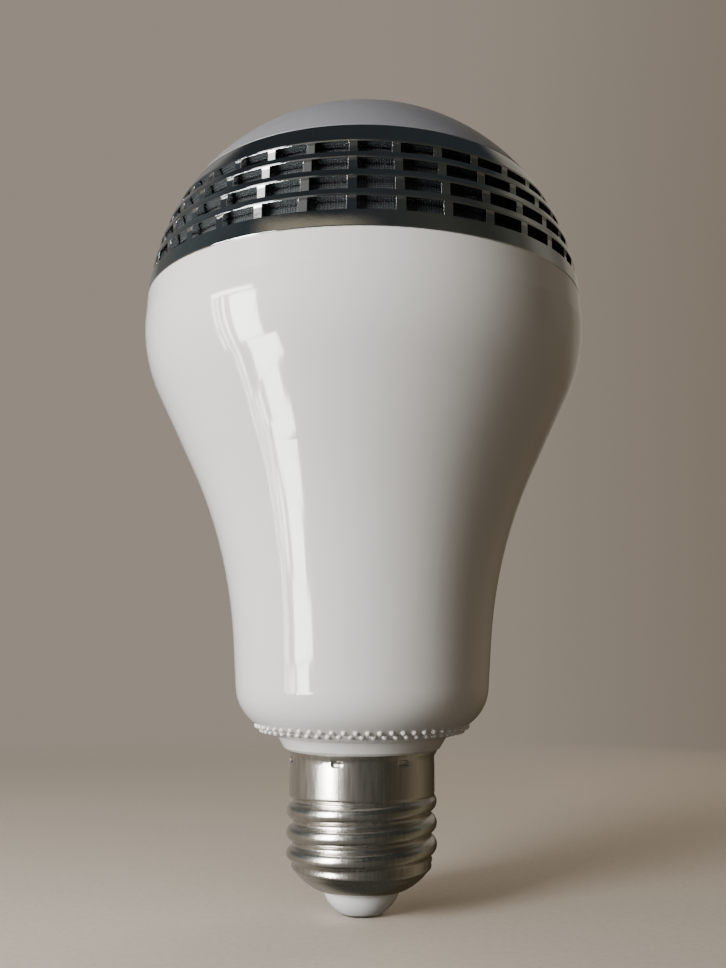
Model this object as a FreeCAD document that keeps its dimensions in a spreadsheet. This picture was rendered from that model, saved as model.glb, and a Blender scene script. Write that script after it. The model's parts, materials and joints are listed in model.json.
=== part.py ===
import FreeCAD, Part
import math
import os
import re
import Sketcher

# A screw-in lamp with a loudspeaker inside it, in millimetres.
# Frame: +Z runs along the lamp from the cap to the dome, and the origin is the middle of the tip contact's
# lower face.  A bearing is an angle round the lamp from -Y, growing towards +X.

SIZES = {
    # Cap: the E27 knuckle thread, its plain skirt and the insulator
    "tip_radius": 3.8,
    "tip_height": 0.9,
    "tip_stem_radius": 1.4,
    "tip_stem_top": 8.5,
    "nub_low_radius": 4.2,
    "nub_low_z": 0.55,
    "nub_radius": 6.8,
    "nub_top_z": 4.2,
    "nub_arc": 7.0,
    "plug_radius": 9.2,
    "plug_low_z": 6.0,
    "plug_top_z": 8.0,
    "plug_clearance": 0.05,
    "mouth_radius": 6.9,
    "end_radius": 12.15,
    "end_top_z": 8.0,
    "end_blend": 0.9,
    "crest_radius": 13.1,
    "root_radius": 12.05,
    "crest_arc": 1.48,
    "thread_pitch": 3.629,
    "thread_phase_z": 8.0,
    "run_in_z": 8.4,
    "run_in_length": 1.6,
    "run_out_z": 19.2,
    "run_out_length": 1.2,
    "thread_bore": 11.6,
    "thread_bore_z": 8.2,
    "skirt_radius": 12.75,
    "skirt_bore": 12.35,
    "skirt_bore_z": 20.8,
    "rim_radius": 13.2,
    "rim_flare": 1.2,
    "cap_top_z": 27.5,
    "crimp_count": 7,
    "crimp_z": 26.0,
    "crimp_radius": 0.8,
    "crimp_length": 1.3,
    "crimp_depth": 0.28,
    "crimp_bearing": 32.8,
    # Housing: neck, corner, barrel, flare and shoulder
    "wall": 1.6,
    "spigot_bore": 10.8,
    "spigot_radius": 12.3,
    "spigot_low_z": 21.6,
    "neck_low_radius": 13.7,
    "neck_top_radius": 14.9,
    "neck_top_z": 29.7,
    "corner_centre_radius": 14.38,
    "corner_centre_z": 38.6,
    "corner_arc": 8.0,
    "underside_angle": 50.0,
    "underside_length": 3.3,
    "barrel_angle": 4.0,
    "flare_centre_radius": 107.73,
    "flare_centre_z": 40.37,
    "flare_arc": 85.0,
    "slope_angle": 25.54,
    "shoulder_centre_radius": 12.6,
    "shoulder_z": 102.4,
    "shoulder_arc": 27.6,
    "seam_z": 107.6,
    "seam_bore": 38.4,
    "seam_chamfer": 0.15,
    "neck_chamfer": 0.4,
    # Grille ring and dome: one sphere
    "ball_radius": 40.0,
    "ball_z": 105.0,
    "grille_wall": 2.0,
    "slot_rows": 4,
    "slot_columns": 32,
    "slot_height": 2.45,
    "slot_pitch": 3.65,
    "slot_top_z": 123.8,
    "slot_bearing": 2.73,
    "post_angle": 2.25,
    "post_recess": 0.5,
    "rib_lip": 0.3,
    "dome_seat_z": 127.9,
    "dome_seat_bore": 31.35,
    "dome_wall": 1.5,
    "dome_spigot_radius": 31.25,
    "dome_spigot_bore": 29.9,
    "dome_spigot_z": 126.0,
    "cloth_gap": 0.2,
    "cloth_thickness": 0.5,
    "cloth_low_z": 109.4,
    "cloth_high_z": 124.4,
    # Light engine
    "board_radius": 29.5,
    "board_low_z": 124.2,
    "board_thickness": 1.6,
    "pad_radius": 28.5,
    "pad_thickness": 0.5,
    "spreader_radius": 31.6,
    "spreader_thickness": 2.0,
    "led_plug_ring": 20.0,
    "led_plug_length": 6.0,
    "led_plug_width": 7.0,
    "led_plug_height": 3.2,
    "led_plug_key": 0.6,
    "light_screw_ring": 26.5,
    "light_screw_radius": 1.2,
    "light_screw_head": 2.1,
    "light_screw_length": 9.0,
    "light_hole_radius": 1.3,
    "led_wire_ring": 28.3,
    "led_wire_hole": 1.2,
    "chip_long": 3.5,
    "chip_wide": 2.8,
    "chip_high": 0.7,
    "outer_chip_ring": 23.0,
    "inner_chip_ring": 12.0,
    "colour_chip_size": 5.0,
    "colour_chip_height": 1.6,
    "colour_chip_ring": 17.5,
    # Baffle plate and its ledge
    "ledge_bore": 33.0,
    "ledge_top_z": 105.8,
    "ledge_thickness": 2.0,
    "gusset_z": 98.5,
    "baffle_radius": 38.2,
    "baffle_hole": 23.0,
    "pillar_radius": 2.5,
    "baffle_way_ring": 30.5,
    "baffle_screw_ring": 34.6,
    "baffle_screw_length": 3.6,
    "small_screw_radius": 1.0,
    "small_screw_head": 1.9,
    "small_screw_head_height": 1.2,
    "small_hole_radius": 1.05,
    # Loudspeaker
    "gasket_thickness": 0.7,
    "gasket_bore": 22.7,
    "gasket_radius": 25.5,
    "flange_radius": 26.0,
    "flange_top_z": 105.0,
    "flange_thickness": 1.0,
    "basket_wall": 0.8,
    "basket_low_z": 92.5,
    "basket_low_bore": 9.6,
    "basket_low_radius": 15.2,
    "basket_high_radius": 22.4,
    "basket_window_width": 13.0,
    "top_plate_bore": 7.35,
    "top_plate_radius": 16.0,
    "top_plate_thickness": 2.5,
    "magnet_bore": 9.5,
    "magnet_radius": 17.5,
    "magnet_thickness": 6.5,
    "yoke_thickness": 2.5,
    "pole_radius": 5.75,
    "former_bore": 6.2,
    "former_radius": 6.4,
    "former_low_z": 88.8,
    "former_top_z": 97.9,
    "coil_clearance": 0.02,
    "coil_radius": 6.95,
    "coil_height": 5.0,
    "cone_neck_radius": 6.45,
    "cone_neck_z": 96.8,
    "cone_rim_radius": 18.5,
    "cone_rim_z": 104.5,
    "cone_thickness": 0.5,
    "roll_radius": 1.3,
    "roll_centre": 19.9,
    "roll_thickness": 0.3,
    "roll_overlap": 0.7,
    "cap_rim_radius": 7.6,
    "cap_rim_z": 98.2,
    "cap_arc": 14.23,
    "cap_thickness": 0.3,
    "spider_radius": 15.9,
    "spider_z": 95.2,
    "spider_wave": 0.4,
    "spider_thickness": 0.3,
    "speaker_screw_ring": 24.4,
    "speaker_screw_length": 3.2,
    "speaker_screw_head": 1.6,
    "strip_place": 24.1,
    "strip_height": 4.0,
    # Chassis plate and the two boards that hang from it
    "chassis_radius": 28.4,
    "chassis_low_z": 76.0,
    "chassis_thickness": 2.0,
    "chassis_ledge_bore": 24.6,
    "chassis_ledge_thickness": 2.4,
    "chassis_gusset_z": 70.4,
    "chassis_screw_ring": 26.5,
    "chassis_screw_length": 4.2,
    "cable_hole_radius": 2.6,
    "cable_hole_place": 22.4,
    "tab_width": 10.0,
    "tab_clearance": 0.1,
    "power_width": 34.0,
    "power_thickness": 1.6,
    "power_y": -5.0,
    "power_low_z": 35.5,
    "control_width": 32.0,
    "control_thickness": 1.2,
    "control_y": 8.0,
    "control_low_z": 38.0,
}

# Each small component of the boards: length, depth off its board, height, place across and lowest point.
COMPONENTS = {
    "core": (16, 12, 14, 0, 56),
    "safety": (9, 4.4, 8, 0, 46.5),
    "bridge": (6, 2.4, 5, -8, 44),
    "switcher": (5, 1.5, 4, 6, 56),
    "radio": (14, 0.8, 20, 0, 52),
    "shield": (12, 1.8, 12.5, 0, 52.8),
    "amplifier": (5, 1.4, 6, -6, 50),
    "clock": (3.4, 3, 9, 7, 50),
    "speaker_socket": (6, 5, 6, -12, 60),
    "light_socket": (6, 5, 6, 12, 60),
    "power_socket": (9, 3, 3.5, 0, 43.5),
}
for component, numbers in COMPONENTS.items():
    for side, number in zip(("length", "depth", "height", "across", "low"), numbers):
        SIZES[component + "_" + side] = number

SEAM_RADIUS = "sqrt(ball_radius ^ 2 - (seam_z - ball_z) ^ 2)"
LIGHT_SCREW_ANGLES = (60, 180, 300)
BAFFLE_SCREW_ANGLES = (45, 135, 225, 315)
SPEAKER_SCREW_ANGLES = (30, 120, 210, 300)
CHASSIS_SCREW_ANGLES = (90, 210, 330)

SHEET = "Sizes"
SHEETS_CELL = {alias: SHEET + "." + alias for alias in SIZES}
doc = FreeCAD.newDocument("SpeakerLamp")
sheet = doc.addObject("Spreadsheet::Sheet", SHEET)
pieces = []


def fill_sheet():
    """Write each driving dimension as plain text, and name its cell."""
    for row, (alias, number) in enumerate(SIZES.items(), start=1):
        sheet.set("A%d" % row, alias.replace("_", " "))
        sheet.set("B%d" % row, str(number))
        sheet.setAlias("B%d" % row, alias)
    doc.recompute()


def cells(formula):
    """The formula as an expression: each alias in it gets the sheet's name."""
    return re.sub(r"[a-z_]+", lambda word: SHEETS_CELL.get(word.group(), word.group()), formula)


def size(formula):
    """The value of a formula over the sheet's cells."""
    result = sheet.evalExpression(cells(formula))
    return float(getattr(result, "Value", result))


def bind(item, prop, formula):
    item.setExpression(prop, cells(formula))


# ---------------------------------------------------------------- ways of making pieces


def keep(item, label):
    """Name a finished piece; its label is its file's name."""
    item.Label = label
    pieces.append(item)
    return item


def new_body(label):
    return keep(doc.addObject("PartDesign::Body", label), label)


def origin_feature(body, role):
    for feature in body.Origin.OriginFeatures:
        if feature.Role == role:
            return feature
    raise ValueError(role)


def new_sketch(body, name, role, lift=None):
    """A sketch on one of the body's own origin planes, lifted along its normal by a formula."""
    sketch = body.newObject("Sketcher::SketchObject", name)
    sketch.AttachmentSupport = (origin_feature(body, role), [""])
    sketch.MapMode = "FlatFace"
    if lift is not None:
        bind(sketch, ".AttachmentOffset.Base.z", lift)
        doc.recompute()
    return sketch


def pin_point(sketch, edge, end, across, along):
    """Hold one point of a sketch at formulas for its two coordinates; None leaves one free."""
    for axis, kind, formula in ((-2, "DistanceX", across), (-1, "DistanceY", along)):
        if formula is None:
            continue
        number = size(formula)
        if abs(number) < 1e-9:
            sketch.addConstraint(Sketcher.Constraint("PointOnObject", edge, end, axis))
            continue
        place = sketch.addConstraint(Sketcher.Constraint(kind, -1, 1, edge, end, number))
        sketch.setExpression("Constraints[%d]" % place, cells(formula))


def resolve(corners, arcs):
    """Turn the corners' formulas into points. A None is where the arc that ends there puts it."""
    points = []
    for place, (across, along) in enumerate(corners):
        if across is None or along is None:
            centre = FreeCAD.Vector(size(arcs[place - 1][0]), size(arcs[place - 1][1]), 0)
            radius = (points[-1] - centre).Length
            if across is None:
                y = size(along)
                reach = math.sqrt(radius ** 2 - (y - centre.y) ** 2)
                x = centre.x + math.copysign(reach, points[-1].x - centre.x)
            else:
                x = size(across)
                reach = math.sqrt(radius ** 2 - (x - centre.x) ** 2)
                y = centre.y + math.copysign(reach, points[-1].y - centre.y)
        else:
            x, y = size(across), size(along)
        points.append(FreeCAD.Vector(x, y, 0))
    return points


def draw_outline(sketch, corners, arcs):
    """Draw a closed outline. corners are pairs of formulas; arcs gives, for the edge that leaves a corner,
    its centre's two formulas and its turn, 1 for anticlockwise and -1 for clockwise."""
    points = resolve(corners, arcs)
    count = len(points)
    ends = []
    for place, start in enumerate(points):
        finish = points[(place + 1) % count]
        if place not in arcs:
            edge = sketch.addGeometry(Part.LineSegment(start, finish))
            ends.append((edge, 1, 2))
            continue
        across, along, turn = arcs[place]
        centre = FreeCAD.Vector(size(across), size(along), 0)
        first, last = (start, finish) if turn > 0 else (finish, start)
        angle_a = math.atan2(first.y - centre.y, first.x - centre.x)
        angle_b = math.atan2(last.y - centre.y, last.x - centre.x)
        if angle_b <= angle_a:
            angle_b += 2 * math.pi
        circle = Part.Circle(centre, FreeCAD.Vector(0, 0, 1), (start - centre).Length)
        edge = sketch.addGeometry(Part.ArcOfCircle(circle, angle_a, angle_b))
        ends.append((edge, 1, 2) if turn > 0 else (edge, 2, 1))
    for place in range(count):
        edge, start_end, finish_end = ends[place]
        following = ends[(place + 1) % count]
        sketch.addConstraint(Sketcher.Constraint("Coincident", edge, finish_end, following[0], following[1]))
    for place, (across, along) in enumerate(corners):
        edge, start_end, finish_end = ends[place]
        before = (place - 1) % count
        if before in arcs:
            centre = FreeCAD.Vector(size(arcs[before][0]), size(arcs[before][1]), 0)
            spoke = points[place] - centre
            if abs(spoke.x) > abs(spoke.y):
                across = None
            else:
                along = None
        pin_point(sketch, edge, start_end, across, along)
        if place in arcs:
            pin_point(sketch, edge, 3, arcs[place][0], arcs[place][1])


def revolved(label, corners, arcs=None):
    """A body turned round Z from an outline of (radius, height) corners."""
    body = new_body(label)
    sketch = new_sketch(body, label + "_outline", "XZ_Plane")
    draw_outline(sketch, corners, arcs or {})
    turned = body.newObject("PartDesign::Revolution", label + "_turned")
    turned.Profile = sketch
    turned.ReferenceAxis = (sketch, ["V_Axis"])
    turned.Angle = 360
    doc.recompute()
    return body


def ring_corners(bore, radius, low, high):
    """The four corners of a plain ring's section."""
    return [(bore, low), (radius, low), (radius, high), (bore, high)]


def box(name, lengths, centre, low):
    """A block: three lengths, the middle of its plan and the height of its lower face, all formulas."""
    item = doc.addObject("Part::Box", name)
    for prop, formula in zip(("Length", "Width", "Height"), lengths):
        bind(item, prop, formula)
    bind(item, ".Placement.Base.x", "(%s) - (%s) / 2" % (centre[0], lengths[0]))
    bind(item, ".Placement.Base.y", "(%s) - (%s) / 2" % (centre[1], lengths[1]))
    bind(item, ".Placement.Base.z", low)
    return item


def cylinder(name, radius, height, centre, low):
    """An upright cylinder: radius, height, the middle of its plan and its lower face, all formulas."""
    item = doc.addObject("Part::Cylinder", name)
    bind(item, "Radius", radius)
    bind(item, "Height", height)
    bind(item, ".Placement.Base.x", centre[0])
    bind(item, ".Placement.Base.y", centre[1])
    bind(item, ".Placement.Base.z", low)
    return item


def fused(name, items):
    whole = doc.addObject("Part::MultiFuse", name)
    whole.Shapes = items
    return whole


def cut(name, base, tools):
    """Take the tools out of the base, and check that something went."""
    tool = tools[0] if len(tools) == 1 else fused(name + "_tools", tools)
    whole = doc.addObject("Part::Cut", name)
    whole.Base = base
    whole.Tool = tool
    doc.recompute()
    if whole.Shape.Volume > base.Shape.Volume - 1e-3:
        raise ValueError(name + " lost nothing")
    return whole


def grouped(label, items):
    """Separate solids that share one node."""
    whole = doc.addObject("Part::Compound", label)
    whole.Links = items
    return keep(whole, label)


def round_place(ring, angle):
    """Formulas for a point on a ring, at an angle in degrees from +X."""
    return ("(%s) * cos(%s)" % (ring, angle), "(%s) * sin(%s)" % (ring, angle))


def drilled(name, radius, ring, angles, low, high):
    """Cylinders that cut holes round a ring."""
    height = "(%s) - (%s)" % (high, low)
    return [
        cylinder("%s_%d" % (name, angle), radius, height, round_place(ring, angle), low)
        for angle in angles
    ]


def screws(label, ring, angles, seat, length, radius, head_radius, head_height, upside_down=False):
    """Pan-head screws round a ring. seat is the height of the face that the heads bear on."""
    head_low, shank_low = seat, "(%s) - (%s)" % (seat, length)
    if upside_down:
        head_low, shank_low = "(%s) - (%s)" % (seat, head_height), seat
    made = []
    for angle in angles:
        name = "%s_%d" % (label, angle)
        place = round_place(ring, angle)
        head = cylinder(name + "_head", head_radius, head_height, place, head_low)
        shank = cylinder(name + "_shank", radius, length, place, shank_low)
        made.append(fused(name, [head, shank]))
    return grouped(label, made)


def wire_solid(points, radius, label):
    """A round wire along straight runs joined by tangent arcs, as large as the runs allow."""
    route = [FreeCAD.Vector(*point) for point in points]
    edges = []
    radii = []
    begin = route[0]
    for before, corner, after in zip(route, route[1:], route[2:]):
        back = (before - corner).normalize()
        ahead = (after - corner).normalize()
        half_turn = (math.pi - back.getAngle(ahead)) / 2
        reach = 0.45 * min((before - corner).Length, (after - corner).Length)
        bend = reach / math.tan(half_turn)
        radii.append(round(bend, 1))
        enter = corner + back * reach
        leave = corner + ahead * reach
        top = corner + (back + ahead).normalize() * (math.hypot(bend, reach) - bend)
        edges.append(Part.LineSegment(begin, enter).toShape())
        edges.append(Part.Arc(enter, top, leave).toShape())
        begin = leave
    edges.append(Part.LineSegment(begin, route[-1]).toShape())
    path = Part.Wire(edges)
    direction = route[1] - route[0]
    section = Part.Wire([Part.Circle(route[0], direction, radius).toShape()])
    solid = path.makePipeShell([section], True, False)
    expected = math.pi * radius ** 2 * path.Length
    print(label, "bends", radii, "volume ratio", round(solid.Volume / expected, 4))
    return solid


def wires(label, routes, radius):
    """One node of wires that keep their route."""
    item = doc.addObject("Part::Feature", label)
    solids = [wire_solid(route, radius, label) for route in routes]
    item.Shape = solids[0] if len(solids) == 1 else Part.makeCompound(solids)
    return keep(item, label)


# ---------------------------------------------------------------- cap


def tip_contact():
    """A riveted contact: a flat head with a rounded edge, and a stem that takes the live wire."""
    revolved(
        "tip_contact",
        [
            ("0", "0"),
            ("tip_radius - tip_height / 2", "0"),
            ("tip_radius", "tip_height / 2"),
            ("tip_radius", "tip_height"),
            ("tip_stem_radius", "tip_height"),
            ("tip_stem_radius", "tip_stem_top"),
            ("0", "tip_stem_top"),
        ],
        {1: ("tip_radius - tip_height / 2", "tip_height / 2", 1)},
    )


def cap_insulator():
    """A moulded plug: a bulging nub below the shell's mouth, and a wide foot that holds it from inside."""
    low, high = size("nub_low_z"), size("nub_top_z")
    inner, outer = size("nub_low_radius"), size("nub_radius")
    chord = math.hypot(outer - inner, high - low)
    reach = math.sqrt(size("nub_arc") ** 2 - (chord / 2) ** 2)
    centre_r = (inner + outer) / 2 - reach * (high - low) / chord
    centre_z = (low + high) / 2 + reach * (outer - inner) / chord
    revolved(
        "cap_insulator",
        [
            ("tip_radius + plug_clearance", "nub_low_z"),
            ("nub_low_radius", "nub_low_z"),
            ("nub_radius", "nub_top_z"),
            ("nub_radius", "plug_low_z"),
            ("plug_radius", "plug_low_z"),
            ("plug_radius", "plug_top_z"),
            ("tip_stem_radius + plug_clearance", "plug_top_z"),
            ("tip_stem_radius + plug_clearance", "tip_height"),
            ("tip_radius + plug_clearance", "tip_height"),
        ],
        {1: (str(centre_r), str(centre_z), 1)},
    )


def knuckle(offset, pitch, height, crest_arc):
    """How far the thread stands out of its root, at an offset along Z from a crest: a wide arc over the
    crest, and a narrower arc in the root that meets it tangentially."""
    both_arcs = ((pitch / 2) ** 2 + height ** 2) / (2 * height)
    root_arc = both_arcs - crest_arc
    offset = abs((offset + pitch / 2) % pitch - pitch / 2)
    if offset < pitch / 2 * crest_arc / both_arcs:
        return height - crest_arc + math.sqrt(crest_arc ** 2 - offset ** 2)
    return root_arc - math.sqrt(root_arc ** 2 - (pitch / 2 - offset) ** 2)


def smooth(low, length, number):
    """0 up to low, 1 from low + length, and an even ramp between them."""
    share = min(max((number - low) / length, 0.0), 1.0)
    return share * share * (3 - 2 * share)


def shell_profile():
    """The screw shell's outer radius without its thread, up Z: rolled end, root, skirt and rim."""
    root, mouth, end = size("root_radius"), size("mouth_radius"), size("end_radius")
    skirt, rim = size("skirt_radius"), size("rim_radius")
    low, end_top, top = size("nub_top_z"), size("end_top_z"), size("cap_top_z")
    out_z, out_length, flare = size("run_out_z"), size("run_out_length"), size("rim_flare")
    steps_end, steps_up = 9, 90
    profile = []
    for step in range(steps_end):
        lean = math.pi / 2 * step / steps_end
        rise = 1 - math.cos(lean)
        profile.append((mouth + (end - mouth) * (math.sin(lean) + rise) / 2, low + (end_top - low) * rise))
    for step in range(steps_up + 1):
        z = end_top + (top - end_top) * step / steps_up
        radius = end + (root - end) * smooth(end_top, size("end_blend"), z)
        radius += (skirt - root) * smooth(out_z, out_length, z)
        radius += (rim - skirt) * smooth(top - flare, flare, z)
        profile.append((radius, z))
    return profile


def shell_outside():
    """The shell's outer face as one surface round Z, with a right-hand thread that fades at both ends."""
    pitch, height = size("thread_pitch"), size("crest_radius - root_radius")
    crest_arc, phase = size("crest_arc"), size("thread_phase_z")
    in_z, in_length = size("run_in_z"), size("run_in_length")
    out_z, out_length = size("run_out_z"), size("run_out_length")
    profile = shell_profile()
    steps_round = 48
    grid = []
    for step in range(steps_round + 1):
        turn = step / steps_round
        angle = 2 * math.pi * turn
        line = []
        for radius, z in profile:
            crest = knuckle(z - pitch * turn - phase, pitch, height, crest_arc)
            fade = smooth(in_z, in_length, z) * (1 - smooth(out_z, out_length, z))
            wide = radius + crest * fade
            line.append(FreeCAD.Vector(wide * math.cos(angle), wide * math.sin(angle), z))
        grid.append(line)
    surface = Part.BSplineSurface()
    surface.interpolate(grid)
    return surface.toShape()


def crimp(bearing):
    """One punched crimp: a short round-ended groove across the skirt."""
    radius, half = size("crimp_radius"), size("crimp_length") / 2
    reach = size("skirt_radius + crimp_radius - crimp_depth")
    middle = FreeCAD.Vector(0, -reach, size("crimp_z"))
    side = FreeCAD.Vector(half, 0, 0)
    groove = Part.makeCylinder(radius, 2 * half, middle - side, FreeCAD.Vector(1, 0, 0))
    groove = groove.fuse([Part.makeSphere(radius, middle - side), Part.makeSphere(radius, middle + side)])
    groove.rotate(FreeCAD.Vector(0, 0, 0), FreeCAD.Vector(0, 0, 1), bearing)
    return groove


def shell_hollow():
    """What is bored out of the screw shell: its mouth, a dish over the plug, the thread's bore and the
    skirt's."""
    low, foot = size("nub_top_z"), size("plug_low_z")
    dish_top, skirt_low, top = size("thread_bore_z"), size("skirt_bore_z"), size("cap_top_z")
    bore, spare = size("thread_bore"), 1.0
    clearance = size("plug_clearance")
    mouth_low = FreeCAD.Vector(0, 0, low - spare)
    mouth = Part.makeCylinder(size("nub_radius") + clearance, foot - low + spare, mouth_low)
    dish_radius = size("plug_radius") + clearance
    dish = Part.makeCone(dish_radius, bore, dish_top - foot, FreeCAD.Vector(0, 0, foot))
    hollow = Part.makeCylinder(bore, skirt_low - dish_top, FreeCAD.Vector(0, 0, dish_top))
    skirt = Part.makeCylinder(size("skirt_bore"), top - skirt_low + spare, FreeCAD.Vector(0, 0, skirt_low))
    return mouth.fuse([dish, hollow, skirt])


def screw_shell():
    """The threaded metal shell: its outer face closed by two flat ends, bored, and crimped."""
    outside = shell_outside()
    rims = [edge for edge in outside.Edges if edge.isClosed()]
    skin = Part.Shell([outside] + [Part.Face(Part.Wire([edge])) for edge in rims])
    skin.sewShape()
    solid = Part.Solid(skin)
    count = int(size("crimp_count"))
    crimps = [crimp(size("crimp_bearing") + 360.0 * turn / count) for turn in range(count)]
    before = solid.Volume
    solid = solid.cut(shell_hollow()).cut(Part.makeCompound(crimps))
    if solid.Volume > 0.5 * before:
        raise ValueError("the screw shell was not hollowed")
    item = doc.addObject("Part::Feature", "screw_shell")
    item.Shape = solid
    keep(item, "screw_shell")


# ---------------------------------------------------------------- housing, grille and dome


def arc_point(centre, arc, angle, side):
    """Formulas for the point of an arc at an angle below the horizontal (side 1) or inside it (side -1)."""
    across = "%s_centre_radius + (%s) * (%s) * cos(%s)" % (centre, side, arc, angle)
    height = "shoulder_z" if centre == "shoulder" else centre + "_centre_z"
    return (across, "%s - (%s) * (%s) * sin(%s)" % (height, side, arc, angle))


def housing():
    """The white shell in one moulding: a spigot that the cap grips, neck, corner, barrel, flare and shoulder.
    Inside it, one ledge carries the chassis plate and a wider one the baffle plate."""
    corner_in, flare_in, shoulder_in = "corner_arc - wall", "flare_arc + wall", "shoulder_arc - wall"
    corner = ("corner_centre_radius", "corner_centre_z")
    flare = ("flare_centre_radius", "flare_centre_z")
    shoulder = ("shoulder_centre_radius", "shoulder_z")
    under = arc_point("corner", "corner_arc", "underside_angle", 1)
    under_in = arc_point("corner", corner_in, "underside_angle", 1)
    foot = (
        under[0] + " - underside_length * sin(underside_angle)",
        under[1] + " - underside_length * cos(underside_angle)",
    )
    gusset = "shoulder_centre_radius + sqrt((%s) ^ 2 - (shoulder_z - gusset_z) ^ 2)" % shoulder_in
    drop = "(chassis_gusset_z - flare_centre_z)"
    chassis_gusset = "flare_centre_radius - sqrt((%s) ^ 2 - %s ^ 2)" % (flare_in, drop)
    body = revolved(
        "housing",
        [
            ("spigot_bore", "spigot_low_z"),
            ("spigot_radius", "spigot_low_z"),
            ("spigot_radius", "cap_top_z"),
            ("neck_low_radius - neck_chamfer", "cap_top_z"),
            ("neck_low_radius + neck_chamfer * 0.3", "cap_top_z + neck_chamfer"),
            ("neck_top_radius", "neck_top_z"),
            foot,
            under,
            arc_point("corner", "corner_arc", "barrel_angle", 1),
            arc_point("flare", "flare_arc", "barrel_angle", -1),
            arc_point("flare", "flare_arc", "slope_angle", -1),
            arc_point("shoulder", "shoulder_arc", "slope_angle", 1),
            ("shoulder_centre_radius + shoulder_arc", "shoulder_z"),
            (SEAM_RADIUS, "seam_z - seam_chamfer"),
            (SEAM_RADIUS + " - seam_chamfer", "seam_z"),
            ("seam_bore", "seam_z"),
            ("seam_bore", "ledge_top_z"),
            ("ledge_bore", "ledge_top_z"),
            ("ledge_bore", "ledge_top_z - ledge_thickness"),
            (gusset, "gusset_z"),
            arc_point("shoulder", shoulder_in, "slope_angle", 1),
            arc_point("flare", flare_in, "slope_angle", -1),
            (None, "chassis_low_z"),
            ("chassis_ledge_bore", "chassis_low_z"),
            ("chassis_ledge_bore", "chassis_low_z - chassis_ledge_thickness"),
            (chassis_gusset, "chassis_gusset_z"),
            arc_point("flare", flare_in, "barrel_angle", -1),
            arc_point("corner", corner_in, "barrel_angle", 1),
            under_in,
            ("neck_top_radius", "neck_top_z + wall"),
            ("spigot_bore", "neck_top_z + wall - 0.5"),
        ],
        {
            7: corner + (1,),
            9: flare + (-1,),
            11: shoulder + (1,),
            19: shoulder + (-1,),
            21: flare + (1,),
            25: flare + (1,),
            27: corner + (-1,),
        },
    )
    baffle_depth, chassis_depth = "ledge_thickness + 1", "chassis_ledge_thickness + 1"
    drill_ring(body, "baffle_hole", "baffle_screw_ring", "ledge_top_z", baffle_depth, BAFFLE_SCREW_ANGLES)
    drill_ring(
        body, "chassis_hole", "chassis_screw_ring", "chassis_low_z", chassis_depth, CHASSIS_SCREW_ANGLES
    )


def drill_ring(body, name, ring, top, depth, angles):
    """Screw holes down through a ledge or flange: one pocket, patterned round Z at even angles."""
    before = body.Shape.Volume
    sketch = new_sketch(body, name + "_plan", "XY_Plane", top)
    across, along = round_place(ring, angles[0])
    centre = FreeCAD.Vector(size(across), size(along), 0)
    circle = sketch.addGeometry(Part.Circle(centre, FreeCAD.Vector(0, 0, 1), size("small_hole_radius")))
    pin_point(sketch, circle, 3, across, along)
    place = sketch.addConstraint(Sketcher.Constraint("Radius", circle, size("small_hole_radius")))
    sketch.setExpression("Constraints[%d]" % place, cells("small_hole_radius"))
    pocket = body.newObject("PartDesign::Pocket", name + "_pocket")
    pocket.Profile = sketch
    bind(pocket, "Length", depth)
    doc.recompute()
    repeat_round_axis(body, pocket, name + "_pattern", len(angles))
    if body.Shape.Volume > before - 1:
        raise ValueError(name + " cut nothing")


def repeat_round_axis(body, feature, name, count):
    """Repeat a feature evenly round the body's Z axis."""
    pattern = body.newObject("PartDesign::PolarPattern", name)
    pattern.Originals = [feature]
    pattern.Axis = (origin_feature(body, "Z_Axis"), [""])
    pattern.Angle = 360
    pattern.Occurrences = count
    body.Tip = pattern
    doc.recompute()


def grille_outline():
    """The ring's section: a spherical band with a groove for each row of slots. Every rib ends in a short
    upright lip at its lower edge."""
    ball = ("0", "ball_z")
    on_ball = "sqrt(ball_radius ^ 2 - (%s - ball_z) ^ 2)"
    corners = [
        ("sqrt((ball_radius - grille_wall) ^ 2 - (seam_z - ball_z) ^ 2)", "seam_z"),
        (SEAM_RADIUS + " - seam_chamfer", "seam_z"),
        (on_ball % "(seam_z + seam_chamfer)", "seam_z + seam_chamfer"),
    ]
    arcs = {2: ball + (1,)}
    for row in reversed(range(int(size("slot_rows")))):
        top = "(slot_top_z - %d * slot_pitch)" % row
        low = "(slot_top_z - %d * slot_pitch - slot_height)" % row
        floor = on_ball % top + " - post_recess"
        lip = on_ball % ("(" + top + " + rib_lip)")
        corners.append((None, low))
        corners.append((floor, low))
        corners.append((floor, top))
        corners.append((lip, top))
        corners.append((lip, top + " + rib_lip"))
        arcs[len(corners) - 1] = ball + (1,)
    corners.append((None, "dome_seat_z - seam_chamfer"))
    corners.append((on_ball % "dome_seat_z" + " - seam_chamfer", "dome_seat_z"))
    corners.append(("dome_seat_bore", "dome_seat_z"))
    corners.append(
        ("dome_seat_bore", "ball_z + sqrt((ball_radius - grille_wall) ^ 2 - dome_seat_bore ^ 2)")
    )
    arcs[len(corners) - 1] = ball + (-1,)
    return corners, arcs


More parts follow.
